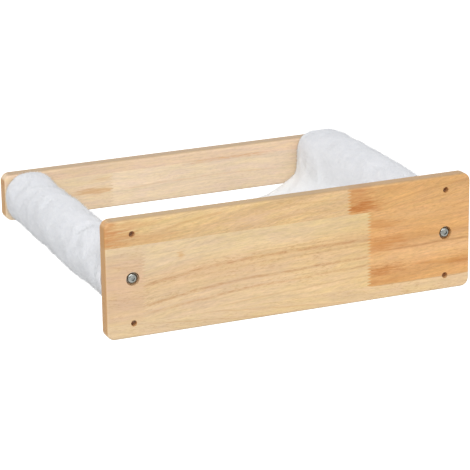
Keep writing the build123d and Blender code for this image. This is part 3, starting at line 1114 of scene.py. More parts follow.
@dataclass(frozen=True)
class PlushPile(Finish):
    """Soft white polyester plush, brushed: matt, faintly clouded, with a sheen where it is seen edge-on.

    The inner flank of the left tunnel and the bed beside it are painted whiter: painted light that stands
    in for the light which bounces between the tunnel and the bed.

    Attributes:
        light: Its colour on the crowns of the clumps.
        dark: Its colour between them.
        painted_light: Its colour where the painted light whitens it.
        sheen: Strength of the sheen.
        painted_light_across: X in millimetres where the painted light starts and where it is at full
            strength.
        painted_light_below: The same for Z.
        painted_light_share: How strong the painted light gets, from 0 to 1.
    """

    name: str = "brushed_white_plush"
    light: str = "#EEEFF2"
    dark: str = "#E5E7EC"
    painted_light: str = "#F9FCFF"
    sheen: float = 0.35
    painted_light_across: tuple[float, float] = (40.0, -120.0)
    painted_light_below: tuple[float, float] = (34.0, -8.0)
    painted_light_share: float = 0.9

    def shader(self, tree: bpy.types.NodeTree, place: Socket) -> Socket:
        """Build the plush.

        Args:
            tree: The material's node tree.
            place: The place in metres.

        Returns:
            The shader.
        """
        tuft = add_node(tree, "TexNoise", {"Vector": place, "Scale": 170.0, "Detail": 3.0,
                                           "Roughness": 0.6})
        tint = add_node(tree, "ValToRGB", {0: tuft}, stops=[(0.3, shade(self.dark)),
                                                            (0.7, shade(self.light))])
        parts = add_node(tree, "SeparateXYZ", {0: place}).node.outputs
        # Painted light: whiten the left tunnel's inner flank and the bed beside it, for light bounced between
        # them.
        inner, low = (add_node(tree, "MapRange", {"Value": parts[axis], "From Min": start * MM,
                                                  "From Max": full * MM})
                      for axis, (start, full) in (("X", self.painted_light_across), ("Z", self.painted_light_below)))
        painted_light = add_node(tree, "Math", {0: inner, 1: low}, operation="MULTIPLY")
        painted_light = add_node(tree, "Math", {0: painted_light, 1: self.painted_light_share}, operation="MULTIPLY")
        tint = add_node(tree, "Mix", {"Factor": painted_light, 6: tint, 7: shade(self.painted_light)}, output=2,
                        data_type="RGBA")
        fine = add_node(tree, "TexNoise", {"Vector": place, "Scale": 700.0, "Detail": 2.0})
        height = add_node(tree, "Math", {0: tuft, 1: fine})
        bump = add_node(tree, "Bump", {"Height": height, "Strength": 0.5, "Distance": 0.8 * MM})
        return add_node(tree, "BsdfPrincipled", {"Base Color": tint, "Roughness": 1.0, "Normal": bump,
                                                 "Specular IOR Level": 0.15, "Sheen Weight": self.sheen,
                                                 "Sheen Roughness": 0.45})


@dataclass(frozen=True)
class KnitBacking(Finish):
    """Fine white warp knit that the pile is rooted in: matt, with ribs 1.5 mm apart, drawn coarse to show.

    Attributes:
        rib: Its colour on the ribs.
        groove: Its colour between them.
    """

    name: str = "white_warp_knit"
    rib: str = "#E4E5E8"
    groove: str = "#D3D5D9"

    def shader(self, tree: bpy.types.NodeTree, place: Socket) -> Socket:
        """Build the knit.

        Args:
            tree: The material's node tree.
            place: The place in metres.

        Returns:
            The shader.
        """
        rib = add_node(tree, "TexWave", {"Vector": place, "Scale": 210.0, "Distortion": 1.5, "Detail": 1.0},
                       bands_direction="Y")
        tint = add_node(tree, "ValToRGB", {0: rib}, stops=[(0.0, shade(self.groove)), (1.0, shade(self.rib))])
        bump = add_node(tree, "Bump", {"Height": rib, "Strength": 0.4, "Distance": 0.3 * MM})
        return add_node(tree, "BsdfPrincipled", {"Base Color": tint, "Roughness": 0.95, "Normal": bump,
                                                 "Specular IOR Level": 0.2})


@dataclass(frozen=True)
class PlainWeave(Finish):
    """White polyester lining cloth in plain weave: matt, with each thread passing over and under the next.

    The threads are drawn 1.5 mm apart, five times their real spacing, so that the weave shows in a picture.

    Attributes:
        crown: Its colour on the crowns of the threads.
        gap: Its colour between them.
        spacing: Distance between threads in millimetres.
    """

    name: str = "plain_weave_lining"
    crown: str = "#E6E7EA"
    gap: str = "#BFC3C9"
    spacing: float = 1.5

    def shader(self, tree: bpy.types.NodeTree, place: Socket) -> Socket:
        """Build the cloth.

        Args:
            tree: The material's node tree.
            place: The place in metres.

        Returns:
            The shader.
        """
        sway = add_node(tree, "TexNoise", {"Vector": place, "Scale": 60.0, "Detail": 2.0}, output="Color")
        sway = add_node(tree, "VectorMath", {0: sway, "Scale": 0.9 * MM}, operation="SCALE")
        moved = add_node(tree, "VectorMath", {0: place, 1: sway})
        counted = add_node(tree, "VectorMath", {0: moved, "Scale": 1.0 / (self.spacing * MM)},
                           operation="SCALE")
        parts = add_node(tree, "SeparateXYZ", {0: counted}).node.outputs
        warp, weft = self.crowns(tree, parts["X"]), self.crowns(tree, parts["Y"])
        flat = add_node(tree, "CombineXYZ", {0: parts["X"], 1: parts["Y"], 2: 0.5})
        over = add_node(tree, "TexChecker", {"Vector": flat, "Scale": 1.0}, output="Fac")
        height = add_node(tree, "Mix", {"Factor": over, 2: warp, 3: weft}, output=0, data_type="FLOAT")
        slub = add_node(tree, "TexNoise", {"Vector": place, "Scale": 190.0, "Detail": 3.0})
        level = add_node(tree, "Math", {0: height, 1: slub}, operation="MULTIPLY")
        tint = add_node(tree, "ValToRGB", {0: level}, stops=[(0.08, shade(self.gap)),
                                                            (0.42, shade(self.crown))])
        bump = add_node(tree, "Bump", {"Height": height, "Strength": 0.55, "Distance": 0.25 * MM})
        return add_node(tree, "BsdfPrincipled", {"Base Color": tint, "Roughness": 0.9, "Normal": bump,
                                                 "Specular IOR Level": 0.2, "Sheen Weight": 0.15,
                                                 "Sheen Roughness": 0.5})

    @staticmethod
    def crowns(tree: bpy.types.NodeTree, across: Socket) -> Socket:
        """Give the round height of threads that lie side by side.

        Args:
            tree: The material's node tree.
            across: Place across the threads, counted in threads.

        Returns:
            1 on the crown of each thread and 0 between two.
        """
        turned = add_node(tree, "Math", {0: across, 1: math.pi}, operation="MULTIPLY")
        wave = add_node(tree, "Math", {0: turned}, operation="SINE")
        return add_node(tree, "Math", {0: wave}, operation="ABSOLUTE")


@dataclass(frozen=True)
class SpunThread(Finish):
    """Spun polyester sewing thread, white: two plies twisted together, which show as slanting bands.

    Attributes:
        ply: Its colour on the plies.
        groove: Its colour between them.
    """

    name: str = "spun_polyester_thread"
    ply: str = "#ECEDF0"
    groove: str = "#AEB3BB"

    def shader(self, tree: bpy.types.NodeTree, place: Socket) -> Socket:
        """Build the thread.

        Args:
            tree: The material's node tree.
            place: The place in metres.

        Returns:
            The shader.
        """
        turned = add_node(tree, "Mapping", {"Vector": place, "Rotation": (0.0, 0.0, 0.7)})
        twist = add_node(tree, "TexWave", {"Vector": turned, "Scale": 260.0, "Distortion": 0.6},
                         output="Fac")
        tint = add_node(tree, "ValToRGB", {0: twist}, stops=[(0.0, shade(self.groove)),
                                                            (0.45, shade(self.ply))])
        bump = add_node(tree, "Bump", {"Height": twist, "Strength": 0.5, "Distance": 0.1 * MM})
        return add_node(tree, "BsdfPrincipled", {"Base Color": tint, "Roughness": 0.93, "Normal": bump,
                                                 "Specular IOR Level": 0.3})


@dataclass(frozen=True)
class Tunnel:
    """One side of the bed where the plush wraps a rod, in millimetres.

    Attributes:
        side: 1 for the right side, towards +X, and -1 for the left.
        radius: Outside radius of the plush round the rod.
        outward: How far the tunnel's middle moves away from the bed, where its wander is 1.
        rise: How far it moves up there.
        seam_inset: Distance inwards from the rod of the seam's crease underneath.
        seam_bottom: Depth of the crease underneath.
        top_insets: Distance inwards from the rod of the crease on top, at each station.
        top_depths: Depth of the crease on top, at each station.
        ease: How softly the plush turns in the crease on top, from 0 to 1.
        wander: How much of the move there is at each station.
        pinch: How much smaller the radius is at each station.
        squareness: Exponent of the round at each station: 2 is a circle, and more fills the corners.
    """

    side: int
    radius: float
    outward: float
    rise: float
    seam_inset: float
    seam_bottom: float
    top_insets: tuple[float, ...]
    top_depths: tuple[float, ...]
    ease: float
    wander: tuple[float, ...]
    pinch: tuple[float, ...]
    squareness: tuple[float, ...]

    def outline(self, share: float, step: float) -> np.ndarray:
        """Give points round the tunnel at one station, from its lower crease over the rod to its upper one.

        Args:
            share: Place along the bed, from 0 at the front board to 1 at the wall board.
            step: Distance between points.

        Returns:
            X and Z of each point.
        """
        wander = curve_through(STATIONS, self.wander, share)
        middle = np.array((-self.outward * wander, self.rise * wander))
        turn = np.radians(np.linspace(285.0, -8.0, int(np.radians(293.0) * self.radius / step)))
        round_way = np.stack((np.cos(turn), np.sin(turn)), axis=1)
        power = float(curve_through(STATIONS, self.squareness, share))
        reach = self.radius - float(curve_through(STATIONS, self.pinch, share))
        size = (np.abs(round_way) ** power).sum(axis=1, keepdims=True) ** (1 / power)
        ring = middle + reach * round_way / size
        lower, upper = np.array((self.seam_inset, -self.seam_bottom)), self.top_crease(share)
        start = spread(lower, ring[0], step)[:-1]
        end = spread(ring[-1], upper, step)[1:]
        inward = np.concatenate((start, ring, end))
        return np.stack((self.side * (ROD_X - inward[:, 0]), inward[:, 1]), axis=1)

    def top_crease(self, share: float) -> np.ndarray:
        """Give the place of the crease on top at one station.

        Args:
            share: Place along the bed, from 0 at the front board to 1 at the wall board.

        Returns:
            Its distance inwards from the rod, and its height.
        """
        inset = float(curve_through(STATIONS, self.top_insets, share))
        return np.array((inset, -float(curve_through(STATIONS, self.top_depths, share))))

    def away(self, line: np.ndarray, inset: float, level: float) -> np.ndarray:
        """Measure how far each point of a line is from one of the tunnel's creases.

        Args:
            line: X and Z of each point.
            inset: The crease's distance inwards from the rod.
            level: The crease's height.

        Returns:
            The distances.
        """
        return np.hypot(line[:, 0] - self.side * (ROD_X - inset), line[:, 1] - level)


def spread(first: np.ndarray, last: np.ndarray, step: float) -> np.ndarray:
    """Give evenly spaced points on a straight line.

    Args:
        first: The place of the first point.
        last: The place of the last one.
        step: About how far apart they are.

    Returns:
        The points.
    """
    count = max(2, int(round(np.linalg.norm(last - first) / step)) + 1)
    return first + (last - first) * np.linspace(0.0, 1.0, count)[:, None]


def curve_through(places: tuple[float, ...], values: tuple[float, ...],
                  where: float | np.ndarray) -> np.ndarray:
    """Read a smooth curve through given values.

    Args:
        places: Where the values stand, in rising order.
        values: The values.
        where: Where to read the curve.

    Returns:
        The curve there.
    """
    x, y = np.array(places, float), np.array(values, float)
    slope = np.gradient(y, x)
    k = np.clip(np.searchsorted(x, where, side="right") - 1, 0, len(x) - 2)
    width = x[k + 1] - x[k]
    t = (where - x[k]) / width
    return ((2 * t**3 - 3 * t**2 + 1) * y[k] + (t**3 - 2 * t**2 + t) * width * slope[k]
            + (3 * t**2 - 2 * t**3) * y[k + 1] + (t**3 - t**2) * width * slope[k + 1])


class PileZone(Enum):
    """Parts of the sheet that each carry one piece of pile: lowest and highest X in mm, and a seed."""

    RIGHT_TUNNEL = (148.0, 260.0, 11)
    RIGHT_BED = (0.0, 148.0, 12)
    LEFT_BED = (-146.0, 0.0, 13)
    LEFT_TUNNEL = (-260.0, -146.0, 14)


@dataclass(frozen=True)
class PlushBed:
    """The plush sheet: it wraps both rods, is sewn to itself beside each, and sags a little between them.

    Lengths are in millimetres. The sheet is cut flat, hung in the model's shape, wrinkled by a cloth
    simulation, given its thickness, and covered with short tufts of pile.

    Attributes:
        finish: The plush.
        tuft_finish: The tufts.
        backing: The knit on its inner side.
        front_y: Y of its front end.
        wall_y: Y of its wall end.
        cell: Size of one cell of its mesh.
        ring_thickness: Its thickness round the rods.
        bed_thickness: Its thickness between the tunnels.
        seam_thickness: Its thickness in the seams.
        end_round: Radius of its two ends.
        end_tuck: How far they draw in.
        pile_depths: Room left for the tufts on the tunnels and on the bed.
        ends: Distance of the first rows of its mesh from each end, which are closer together.
        right: The right tunnel.
        left: The left tunnel.
        across: Places across the bed, as shares of the rod's distance from the middle.
        depths: Depth of the bed at each of these places.
        sinks: The share of the dip that each of them takes.
        dip: How much deeper the bed is halfway along.
        dip_shares: The share of that at each station.
        crease_reach: How far from a crease the plush is rounded.
        seam_reach: How far from a seam its stitches press the plush.
        fullness: How much larger than its shape the cloth is cut, as a share.
        most_move: The farthest that a fold can move the plush.
        tufts_per_mm2: Number of tufts in a square millimetre.
        tuft_height: Height of a tuft.
        tuft_radius: Radius of its foot.
    """

    finish: PlushPile
    tuft_finish: PlushPile
    backing: KnitBacking
    front_y: float = BOARD_THICKNESS - HAMMOCK_DEPTH + SOFT_GAP
    wall_y: float = -BOARD_THICKNESS - SOFT_GAP
    cell: float = 4.4
    ring_thickness: float = 8.0
    bed_thickness: float = 9.6
    seam_thickness: float = 3.6
    end_round: float = 7.0
    end_tuck: float = 1.4
    pile_depths: tuple[float, float] = (0.2, 1.6)
    ends: tuple[float, ...] = (0.0, 0.7, 1.8, 3.6, 6.2, 9.5)
    right: Tunnel = Tunnel(
        side=1, radius=29.2, outward=3.0, rise=-4.0, seam_inset=25.5, seam_bottom=26.0, ease=0.4,
        top_insets=(25.5,) * 7, top_depths=(19.0,) * 7, wander=(0.10, 0.34, 0.30, 0.50, 0.65, 0.55, 0.40),
        pinch=(0.8, 1.2, 0.2, 0.0, 0.0, 0.0, 0.0), squareness=(2.4, 2.1, 2.0, 2.0, 2.0, 2.0, 2.0))
    left: Tunnel = Tunnel(
        side=-1, radius=33.4, outward=3.6, rise=4.4, seam_inset=29.5, seam_bottom=28.0, ease=1.0,
        top_insets=(26.0, 30.5, 31.0, 31.0, 32.0, 33.0, 34.0),
        top_depths=(15.0, 17.0, 18.0, 18.0, 19.0, 20.0, 20.5), wander=(1.0, 1.0, 1.0, 1.0, 0.60, 0.30, 0.0),
        pinch=(3.9, 0.4, 0.0, 0.0, 0.0, 0.0, 0.0), squareness=(3.5, 2.5, 2.1, 2.0, 2.0, 2.0, 2.0))
    across: tuple[float, ...] = (0.65, 0.48, 0.02, -0.44, -0.65)
    depths: tuple[float, ...] = (36.0, 41.0, 42.5, 37.6, 33.4)
    sinks: tuple[float, ...] = (0.5, 0.9, 1.0, 0.9, 0.5)
    dip: float = 4.0
    dip_shares: tuple[float, ...] = (0.0, 0.40, 0.85, 1.0, 0.80, 0.35, 0.10)
    crease_reach: float = 22.0
    seam_reach: float = 14.0
    fullness: float = 0.02
    most_move: float = 1.5
    tufts_per_mm2: float = 0.45
    tuft_height: float = 2.4
    tuft_radius: float = 0.11

    def build(self) -> Piece:
        """Make the sheet and its pile.

        Returns:
            The sheet.
        """
        sheet, seams, width = self.hang()
        self.wrinkle(sheet, seams)
        self.thicken(sheet, seams)
        self.ruffle(sheet)
        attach(sheet, "root")
        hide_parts("hammock_plush")
        tufts = [self.pile(sheet, zone) for zone in PileZone]
        return sheet

    def profile(self, share: float) -> np.ndarray:
        """Give the sheet's outer side at one station, from the right lower crease to the left one.

        Args:
            share: Place along the bed.

        Returns:
            X and Z of each point. Every station has as many.
        """
        right = self.right.outline(share, self.cell)
        left = self.left.outline(share, self.cell)[::-1]
        dip = self.dip * curve_through(STATIONS, self.dip_shares, share)
        knots = [(right[-1][0], right[-1][1])]
        knots += [(ROD_X * place, -(depth + dip * sink))
                  for place, depth, sink in zip(self.across, self.depths, self.sinks)]
        knots.append((left[0][0], left[0][1]))
        places = tuple(-x for x, _ in knots)
        x = np.linspace(knots[0][0], knots[-1][0], int(300 / self.cell))
        z = curve_through(places, tuple(z for _, z in knots), -x)
        bed = np.stack((x, z), axis=1)[1:-1]
        return self.ease_creases(np.concatenate((right, bed, left)), share)

    def ease_creases(self, line: np.ndarray, share: float) -> np.ndarray:
        """Round the line where it turns in the two upper creases, less so right at the front board.

        Args:
            line: X and Z of each point.
            share: Place along the bed.

        Returns:
            The rounded line.
        """
        weight = np.zeros(len(line))
        for tunnel in (self.right, self.left):
            away = tunnel.away(line, *tunnel.top_crease(share))
            near = np.clip(1.3 - away / self.crease_reach, 0.0, 1.0) * tunnel.ease
            weight = np.maximum(weight, near * np.interp(share, (0.0, 0.10), (0.15, 1.0)))
        weight = 0.5 * weight[1:-1, None]
        for _ in range(14):
            line[1:-1] += weight * ((line[:-2] + line[2:]) / 2 - line[1:-1])
        return line

    def rows(self) -> np.ndarray:
        """Space out the rows of the sheet, closer together at its two ends.

        Returns:
            The distance of each row from the front end.
        """
        length, tips = self.wall_y - self.front_y, np.array(self.ends)
        clear = tips[-1] + 4.0
        middle = np.linspace(clear, length - clear, int((length - 2 * clear) / self.cell) + 1)
        return np.concatenate((tips, middle, length - tips[::-1]))

    def hang(self) -> tuple[Piece, np.ndarray, float]:
        """Cut the sheet flat and hang it in the model's shape.

        Returns:
            The sheet, how near each of its points is to a seam, from 0 to 1, and its cut width.
        """
        rows = self.rows()
        length = self.wall_y - self.front_y
        profiles = [self.profile(row / length) for row in rows]
        count = min(len(p) for p in profiles)
        profiles = [even_out(p, count) for p in profiles]
        bpy.ops.mesh.primitive_grid_add(x_subdivisions=count - 1, y_subdivisions=len(rows) - 1, size=1.0)
        sheet = bpy.context.object
        sheet.name = sheet.data.name = "plush_sheet"
        places = np.zeros((len(rows), count, 3))
        for k, (row, profile) in enumerate(zip(rows, profiles)):
            tuck = np.interp(np.abs(profile[:, 0]), (95.0, 125.0), self.pile_depths[::-1])
            tuck = (tuck + self.tuck(min(row, length - row)))[:, None]
            places[k, :, 0] = profile[:, 0]
            places[k, :, 1] = self.front_y + row
            places[k, :, 2] = profile[:, 1]
            places[k, :, [0, 2]] -= (normals_of(profile) * tuck).T
        sheet.data.vertices.foreach_set("co", (places * MM).ravel())
        width = float(np.linalg.norm(np.diff(places[len(rows) // 2], axis=0), axis=1).sum())
        sheet.data.update()
        if max(sheet.data.polygons, key=lambda face: face.center.z).normal.z < 0:
            turn_over(sheet)
        return sheet, self.near_seams(places), width

    def tuck(self, from_end: float) -> float:
        """Give how far the plush draws in at this distance from its end, so that the end is round."""
        reach = max(0.0, 1.0 - from_end / self.end_round)
        return self.end_tuck * (1.0 - math.sqrt(1.0 - reach * reach))

    def near_seams(self, places: np.ndarray) -> np.ndarray:
        """Give how near each point is to a seam.

        Args:
            places: The points, by row.

        Returns:
            1 on a seam, falling to 0 at the seams' reach.
        """
        near = np.zeros(places.shape[:2])
        length = self.wall_y - self.front_y
        for tunnel in (self.right, self.left):
            for k, row in enumerate(places):
                share = (row[0, 1] - self.front_y) / length
                for crease in (tunnel.top_crease(share), (tunnel.seam_inset, -tunnel.seam_bottom)):
                    away = tunnel.away(row[:, [0, 2]], *crease)
                    near[k] = np.maximum(near[k], np.clip(1.0 - away / self.seam_reach, 0.0, 1.0))
        return near.ravel()

    def wrinkle(self, sheet: Piece, seams: np.ndarray) -> None:
        """Let the sheet, cut a little full, buckle into soft folds between its seams and the boards.

        Args:
            sheet: The hung sheet.
            seams: How near each point is to a seam.
        """
        mesh = sheet.data
        rest = read_points(mesh)
        start = rest.copy()
        normals = read_points(mesh, "normal")
        for k, place in enumerate(rest):
            start[k] += normals[k] * 0.7 * MM * noise.noise(Vector(place) / (17 * MM))
        mesh.vertices.foreach_set("co", start.ravel())
        held = sheet.vertex_groups.new(name="held")
        near_end = np.minimum(rest[:, 1] - self.front_y * MM, self.wall_y * MM - rest[:, 1]) / MM
        for k, (seam, end) in enumerate(zip(seams, near_end)):
            weight = max(seam, 1.0 if end < 2.5 else 0.0)
            if weight > 0.05:
                held.add([k], weight, "REPLACE")
        select_only(sheet)
        bpy.ops.object.modifier_add(type="CLOTH")
        settings = sheet.modifiers[-1].settings
        settings.vertex_group_mass = "held"
        settings.shrink_min = -self.fullness
        settings.mass = 0.4
        settings.quality = 6
        settings.tension_stiffness = settings.compression_stiffness = 15.0
        settings.shear_stiffness = 8.0
        settings.bending_stiffness = 2.5
        settings.effector_weights.gravity = 0.0
        scene = bpy.context.scene
        for number in range(1, 15):
            scene.frame_set(number)
        bpy.ops.object.convert(target="MESH")
        scene.frame_set(1)
        move = read_points(sheet.data) - rest
        far = np.linalg.norm(move, axis=1, keepdims=True) / (self.most_move * MM)
        move *= np.where(far > 1e-9, np.tanh(far) / np.maximum(far, 1e-9), 1.0)
        places = rest + move
        places[:, 1] = np.clip(places[:, 1], self.front_y * MM, self.wall_y * MM)
        sheet.data.vertices.foreach_set("co", places.ravel())
        sheet.vertex_groups.clear()
        LOG.info("folds move the plush by up to %.1f mm", np.linalg.norm(move, axis=1).max() / MM)

    def thicken(self, sheet: Piece, seams: np.ndarray) -> None:
        """Give the sheet its thickness towards the rods, thin where the stitches press it.

        Args:
            sheet: The sheet.
            seams: How near each point is to a seam.
        """
        places = read_points(sheet.data)
        between = np.clip((148.0 * MM - np.abs(places[:, 0])) / (20.0 * MM), 0.0, 1.0)
        thick = self.ring_thickness + (self.bed_thickness - self.ring_thickness) * between
        thick += (self.seam_thickness - thick) * seams
        group = sheet.vertex_groups.new(name="thick")
        for k, value in enumerate(thick / self.bed_thickness):
            group.add([k], float(value), "REPLACE")
        sheet.data.materials.append(self.finish.material())
        sheet.data.materials.append(self.backing.material())
        apply_modifier(sheet, "SOLIDIFY", thickness=self.bed_thickness * MM, offset=-1.0,
                       vertex_group="thick", material_offset=1, material_offset_rim=0)
        sheet.vertex_groups.clear()
        apply_modifier(sheet, "SUBSURF", levels=1, render_levels=1)
        select_only(sheet)
        bpy.ops.object.shade_smooth()

    def ruffle(self, sheet: Piece) -> None:
        """Raise and lower the pile side in soft clumps, 5 to 12 mm across.

        Args:
            sheet: The thick sheet.
        """
        mesh = sheet.data
        places, normals = read_points(mesh), read_points(mesh, "normal")
        outer = np.zeros(len(places), bool)
        for face in mesh.polygons:
            if face.material_index == 0:
                outer[list(face.vertices)] = True
        aside = Vector((7, 3, 1))
        for k in np.flatnonzero(outer):
            spot = Vector(places[k])
            lift = 0.40 * noise.noise(spot / (9 * MM)) + 0.20 * noise.noise(spot / (4.5 * MM) + aside)
            places[k] += normals[k] * lift * MM
        places[:, 1] = np.clip(places[:, 1], self.front_y * MM, self.wall_y * MM)
        mesh.vertices.foreach_set("co", places.ravel())
        mesh.update()

    def pile(self, sheet: Piece, zone: PileZone) -> Piece:
        """Cover one zone of the sheet with short leaning tufts.

        Args:
            sheet: The finished sheet.
            zone: Which part of it.

        Returns:
            The zone's pile, as one piece.
        """
        low, high, seed = zone.value
        rng = np.random.default_rng(seed)
        root, normal = self.sow(sheet.data, low, high, rng)
        points = self.grow(root, normal, rng)
        first = np.arange(len(root))[:, None] * 4
        faces = np.concatenate([first + np.array(f) for f in ((0, 1, 3), (1, 2, 3), (2, 0, 3), (2, 1, 0))],
                               axis=1)
        tufts = bpy.data.meshes.new(f"plush_pile_{zone.name.lower()}")
        tufts.from_pydata(points, [], faces.reshape(-1, 3))
        tufts.update()
        tufts.polygons.foreach_set("use_smooth", np.ones(len(tufts.polygons), bool))
        piece = bpy.data.objects.new(tufts.name, tufts)
        bpy.context.scene.collection.objects.link(piece)
        tufts.materials.append(self.tuft_finish.material())
        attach(piece, "root")
        LOG.info("%s has %d tufts", piece.name, len(root))
        return piece

    def sow(self, mesh: bpy.types.Mesh, low: float, high: float, rng: np.random.Generator
            ) -> tuple[np.ndarray, np.ndarray]:
        """Choose the place of each tuft on the pile side of the sheet.

        Args:
            mesh: The finished sheet's mesh.
            low: Lowest X of the zone.
            high: Highest X of the zone.
            rng: The source of random numbers.

        Returns:
            The place of each tuft and the sheet's normal there.
        """
        mesh.calc_loop_triangles()
        count = len(mesh.loop_triangles)
        corners, owner = np.zeros(count * 3, int), np.zeros(count, int)
        mesh.loop_triangles.foreach_get("vertices", corners)
        mesh.loop_triangles.foreach_get("polygon_index", owner)
        kind = np.zeros(len(mesh.polygons), int)
        mesh.polygons.foreach_get("material_index", kind)
        places, normals = read_points(mesh), read_points(mesh, "normal")
        corners = corners.reshape(-1, 3)
        a, b, c = (places[corners[:, k]] for k in range(3))
        middle = (a + b + c) / 3
        area = np.linalg.norm(np.cross(b - a, c - a), axis=1) / 2 / MM**2
        wanted = (kind[owner] == 0) & (middle[:, 0] > low * MM) & (middle[:, 0] <= high * MM)
        number = np.floor(area * self.tufts_per_mm2 + rng.random(count)).astype(int) * wanted
        chosen = np.repeat(np.arange(count), number)
        u, v = rng.random(len(chosen)), rng.random(len(chosen))
        u, v = np.where(u + v > 1, 1 - u, u), np.where(u + v > 1, 1 - v, v)
        weights = ((1 - u - v)[:, None], u[:, None], v[:, None])
        root = sum(places[corners[chosen, k]] * weights[k] for k in range(3))
        normal = sum(normals[corners[chosen, k]] * weights[k] for k in range(3))
        return root, unit(normal)

    def grow(self, root: np.ndarray, normal: np.ndarray, rng: np.random.Generator) -> np.ndarray:
        """Shape the tufts: slim three-sided spikes that lean together in swirls.

        Args:
            root: The place of each tuft.
            normal: The sheet's normal there.
            rng: The source of random numbers.

        Returns:
            Three points of each tuft's foot and its tip.
        """
        swirl = np.array([noise.noise_vector(Vector(p) / (13 * MM)) for p in root])
        swirl += 0.5 * np.array([noise.noise_vector(Vector(p) / (5 * MM)) for p in root])
        lean = unit(normal + 0.50 * swirl + 0.20 * rng.normal(size=root.shape))
        upright = np.clip((lean * normal).sum(axis=1, keepdims=True), -1, 1)
        lean = unit(lean + normal * np.maximum(0.0, 0.45 - upright))
        height = self.tuft_height * MM * (0.65 + 0.6 * rng.random((len(root), 1)))
        side = unit(np.cross(normal, rng.normal(size=root.shape)))
        other = np.cross(normal, side)
        radius = self.tuft_radius * MM * (0.8 + 0.5 * rng.random((len(root), 1)))
        sunk = root - normal * 0.35 * MM
        turns = [math.radians(k * 120) for k in range(3)]
        foot = [sunk + radius * (side * math.cos(t) + other * math.sin(t)) for t in turns]
        points = np.stack((*foot, root + lean * height), axis=1).reshape(-1, 3)
        points[:, 1] = np.clip(points[:, 1], self.front_y * MM, self.wall_y * MM)
        return points


@dataclass(frozen=True)
class StitchRow:
    """A row of lockstitches on the underside of a cloth, in millimetres.

    Each stitch is a short arc of thread that dips into the cloth at both ends.

    Attributes:
        name: The piece's name.
        first: X and Y where the row starts.
        last: X and Y where it stops.
        finish: The thread.
        length: Length of one stitch.
        pitch: Distance from one stitch to the next.
        thread: Diameter of the thread.
    """

    name: str
    first: tuple[float, float]
    last: tuple[float, float]
    finish: SpunThread
    length: float = 3.3
    pitch: float = 4.1
    thread: float = 0.8

    def build(self, cloth: Piece) -> Piece:
        """Sew the row.

        Args:
            cloth: The cloth it lies on.

        Returns:
            The row, as one piece.
        """
        surface = tree_of(cloth)
        first, last = Vector(self.first) * MM, Vector(self.last) * MM
        run = last - first
        model = self.stitch(math.atan2(-run.x, run.y))
        count = int(run.length / (self.pitch * MM))
        stitches = []
        for number in range(count):
            place = first + run * (number + 0.5) / count
            hit = surface.ray_cast(Vector((place.x, place.y, -0.3)), Vector((0, 0, 1)))[0]
            stitch = bpy.data.objects.new(self.name, model.data.copy())
            stitch.location = hit
            bpy.context.scene.collection.objects.link(stitch)
            stitches.append(stitch)
        bpy.data.objects.remove(model)
        select_only(*stitches)
        bpy.ops.object.join()
        row = bpy.context.object
        row.name = row.data.name = self.name
        settle(row)
        bpy.ops.object.shade_smooth()
        row.data.materials.clear()
        row.data.materials.append(self.finish.material())
        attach(row, "root")
        LOG.info("%s has %d stitches", self.name, len(stitches))
        return row

    def stitch(self, turn: float) -> Piece:
        """Model one stitch, at the origin.

        Args:
            turn: The row's turn about Z from the Y axis, in radians.

        Returns:
            The stitch.
        """
        bpy.ops.mesh.primitive_uv_sphere_add(segments=6, ring_count=5, radius=self.thread / 2 * MM)
        model = bpy.context.object
        bpy.ops.object.mode_set(mode="EDIT")
        bpy.ops.mesh.select_all(action="SELECT")
        bpy.ops.transform.rotate(value=math.pi / 2, orient_axis="X", center_override=(0, 0, 0))
        bpy.ops.transform.resize(value=(1.0, self.length / self.thread, 1.0))
        bpy.ops.object.mode_set(mode="OBJECT")
        half = self.length / 2 * MM
        for vertex in model.data.vertices:
            vertex.co.z += (0.75 * (vertex.co.y / half) ** 2 - 0.25) * self.thread / 2 * MM * 2
        bpy.ops.object.mode_set(mode="EDIT")
        bpy.ops.transform.rotate(value=turn, orient_axis="Z", center_override=(0, 0, 0))
        bpy.ops.object.mode_set(mode="OBJECT")
        return model


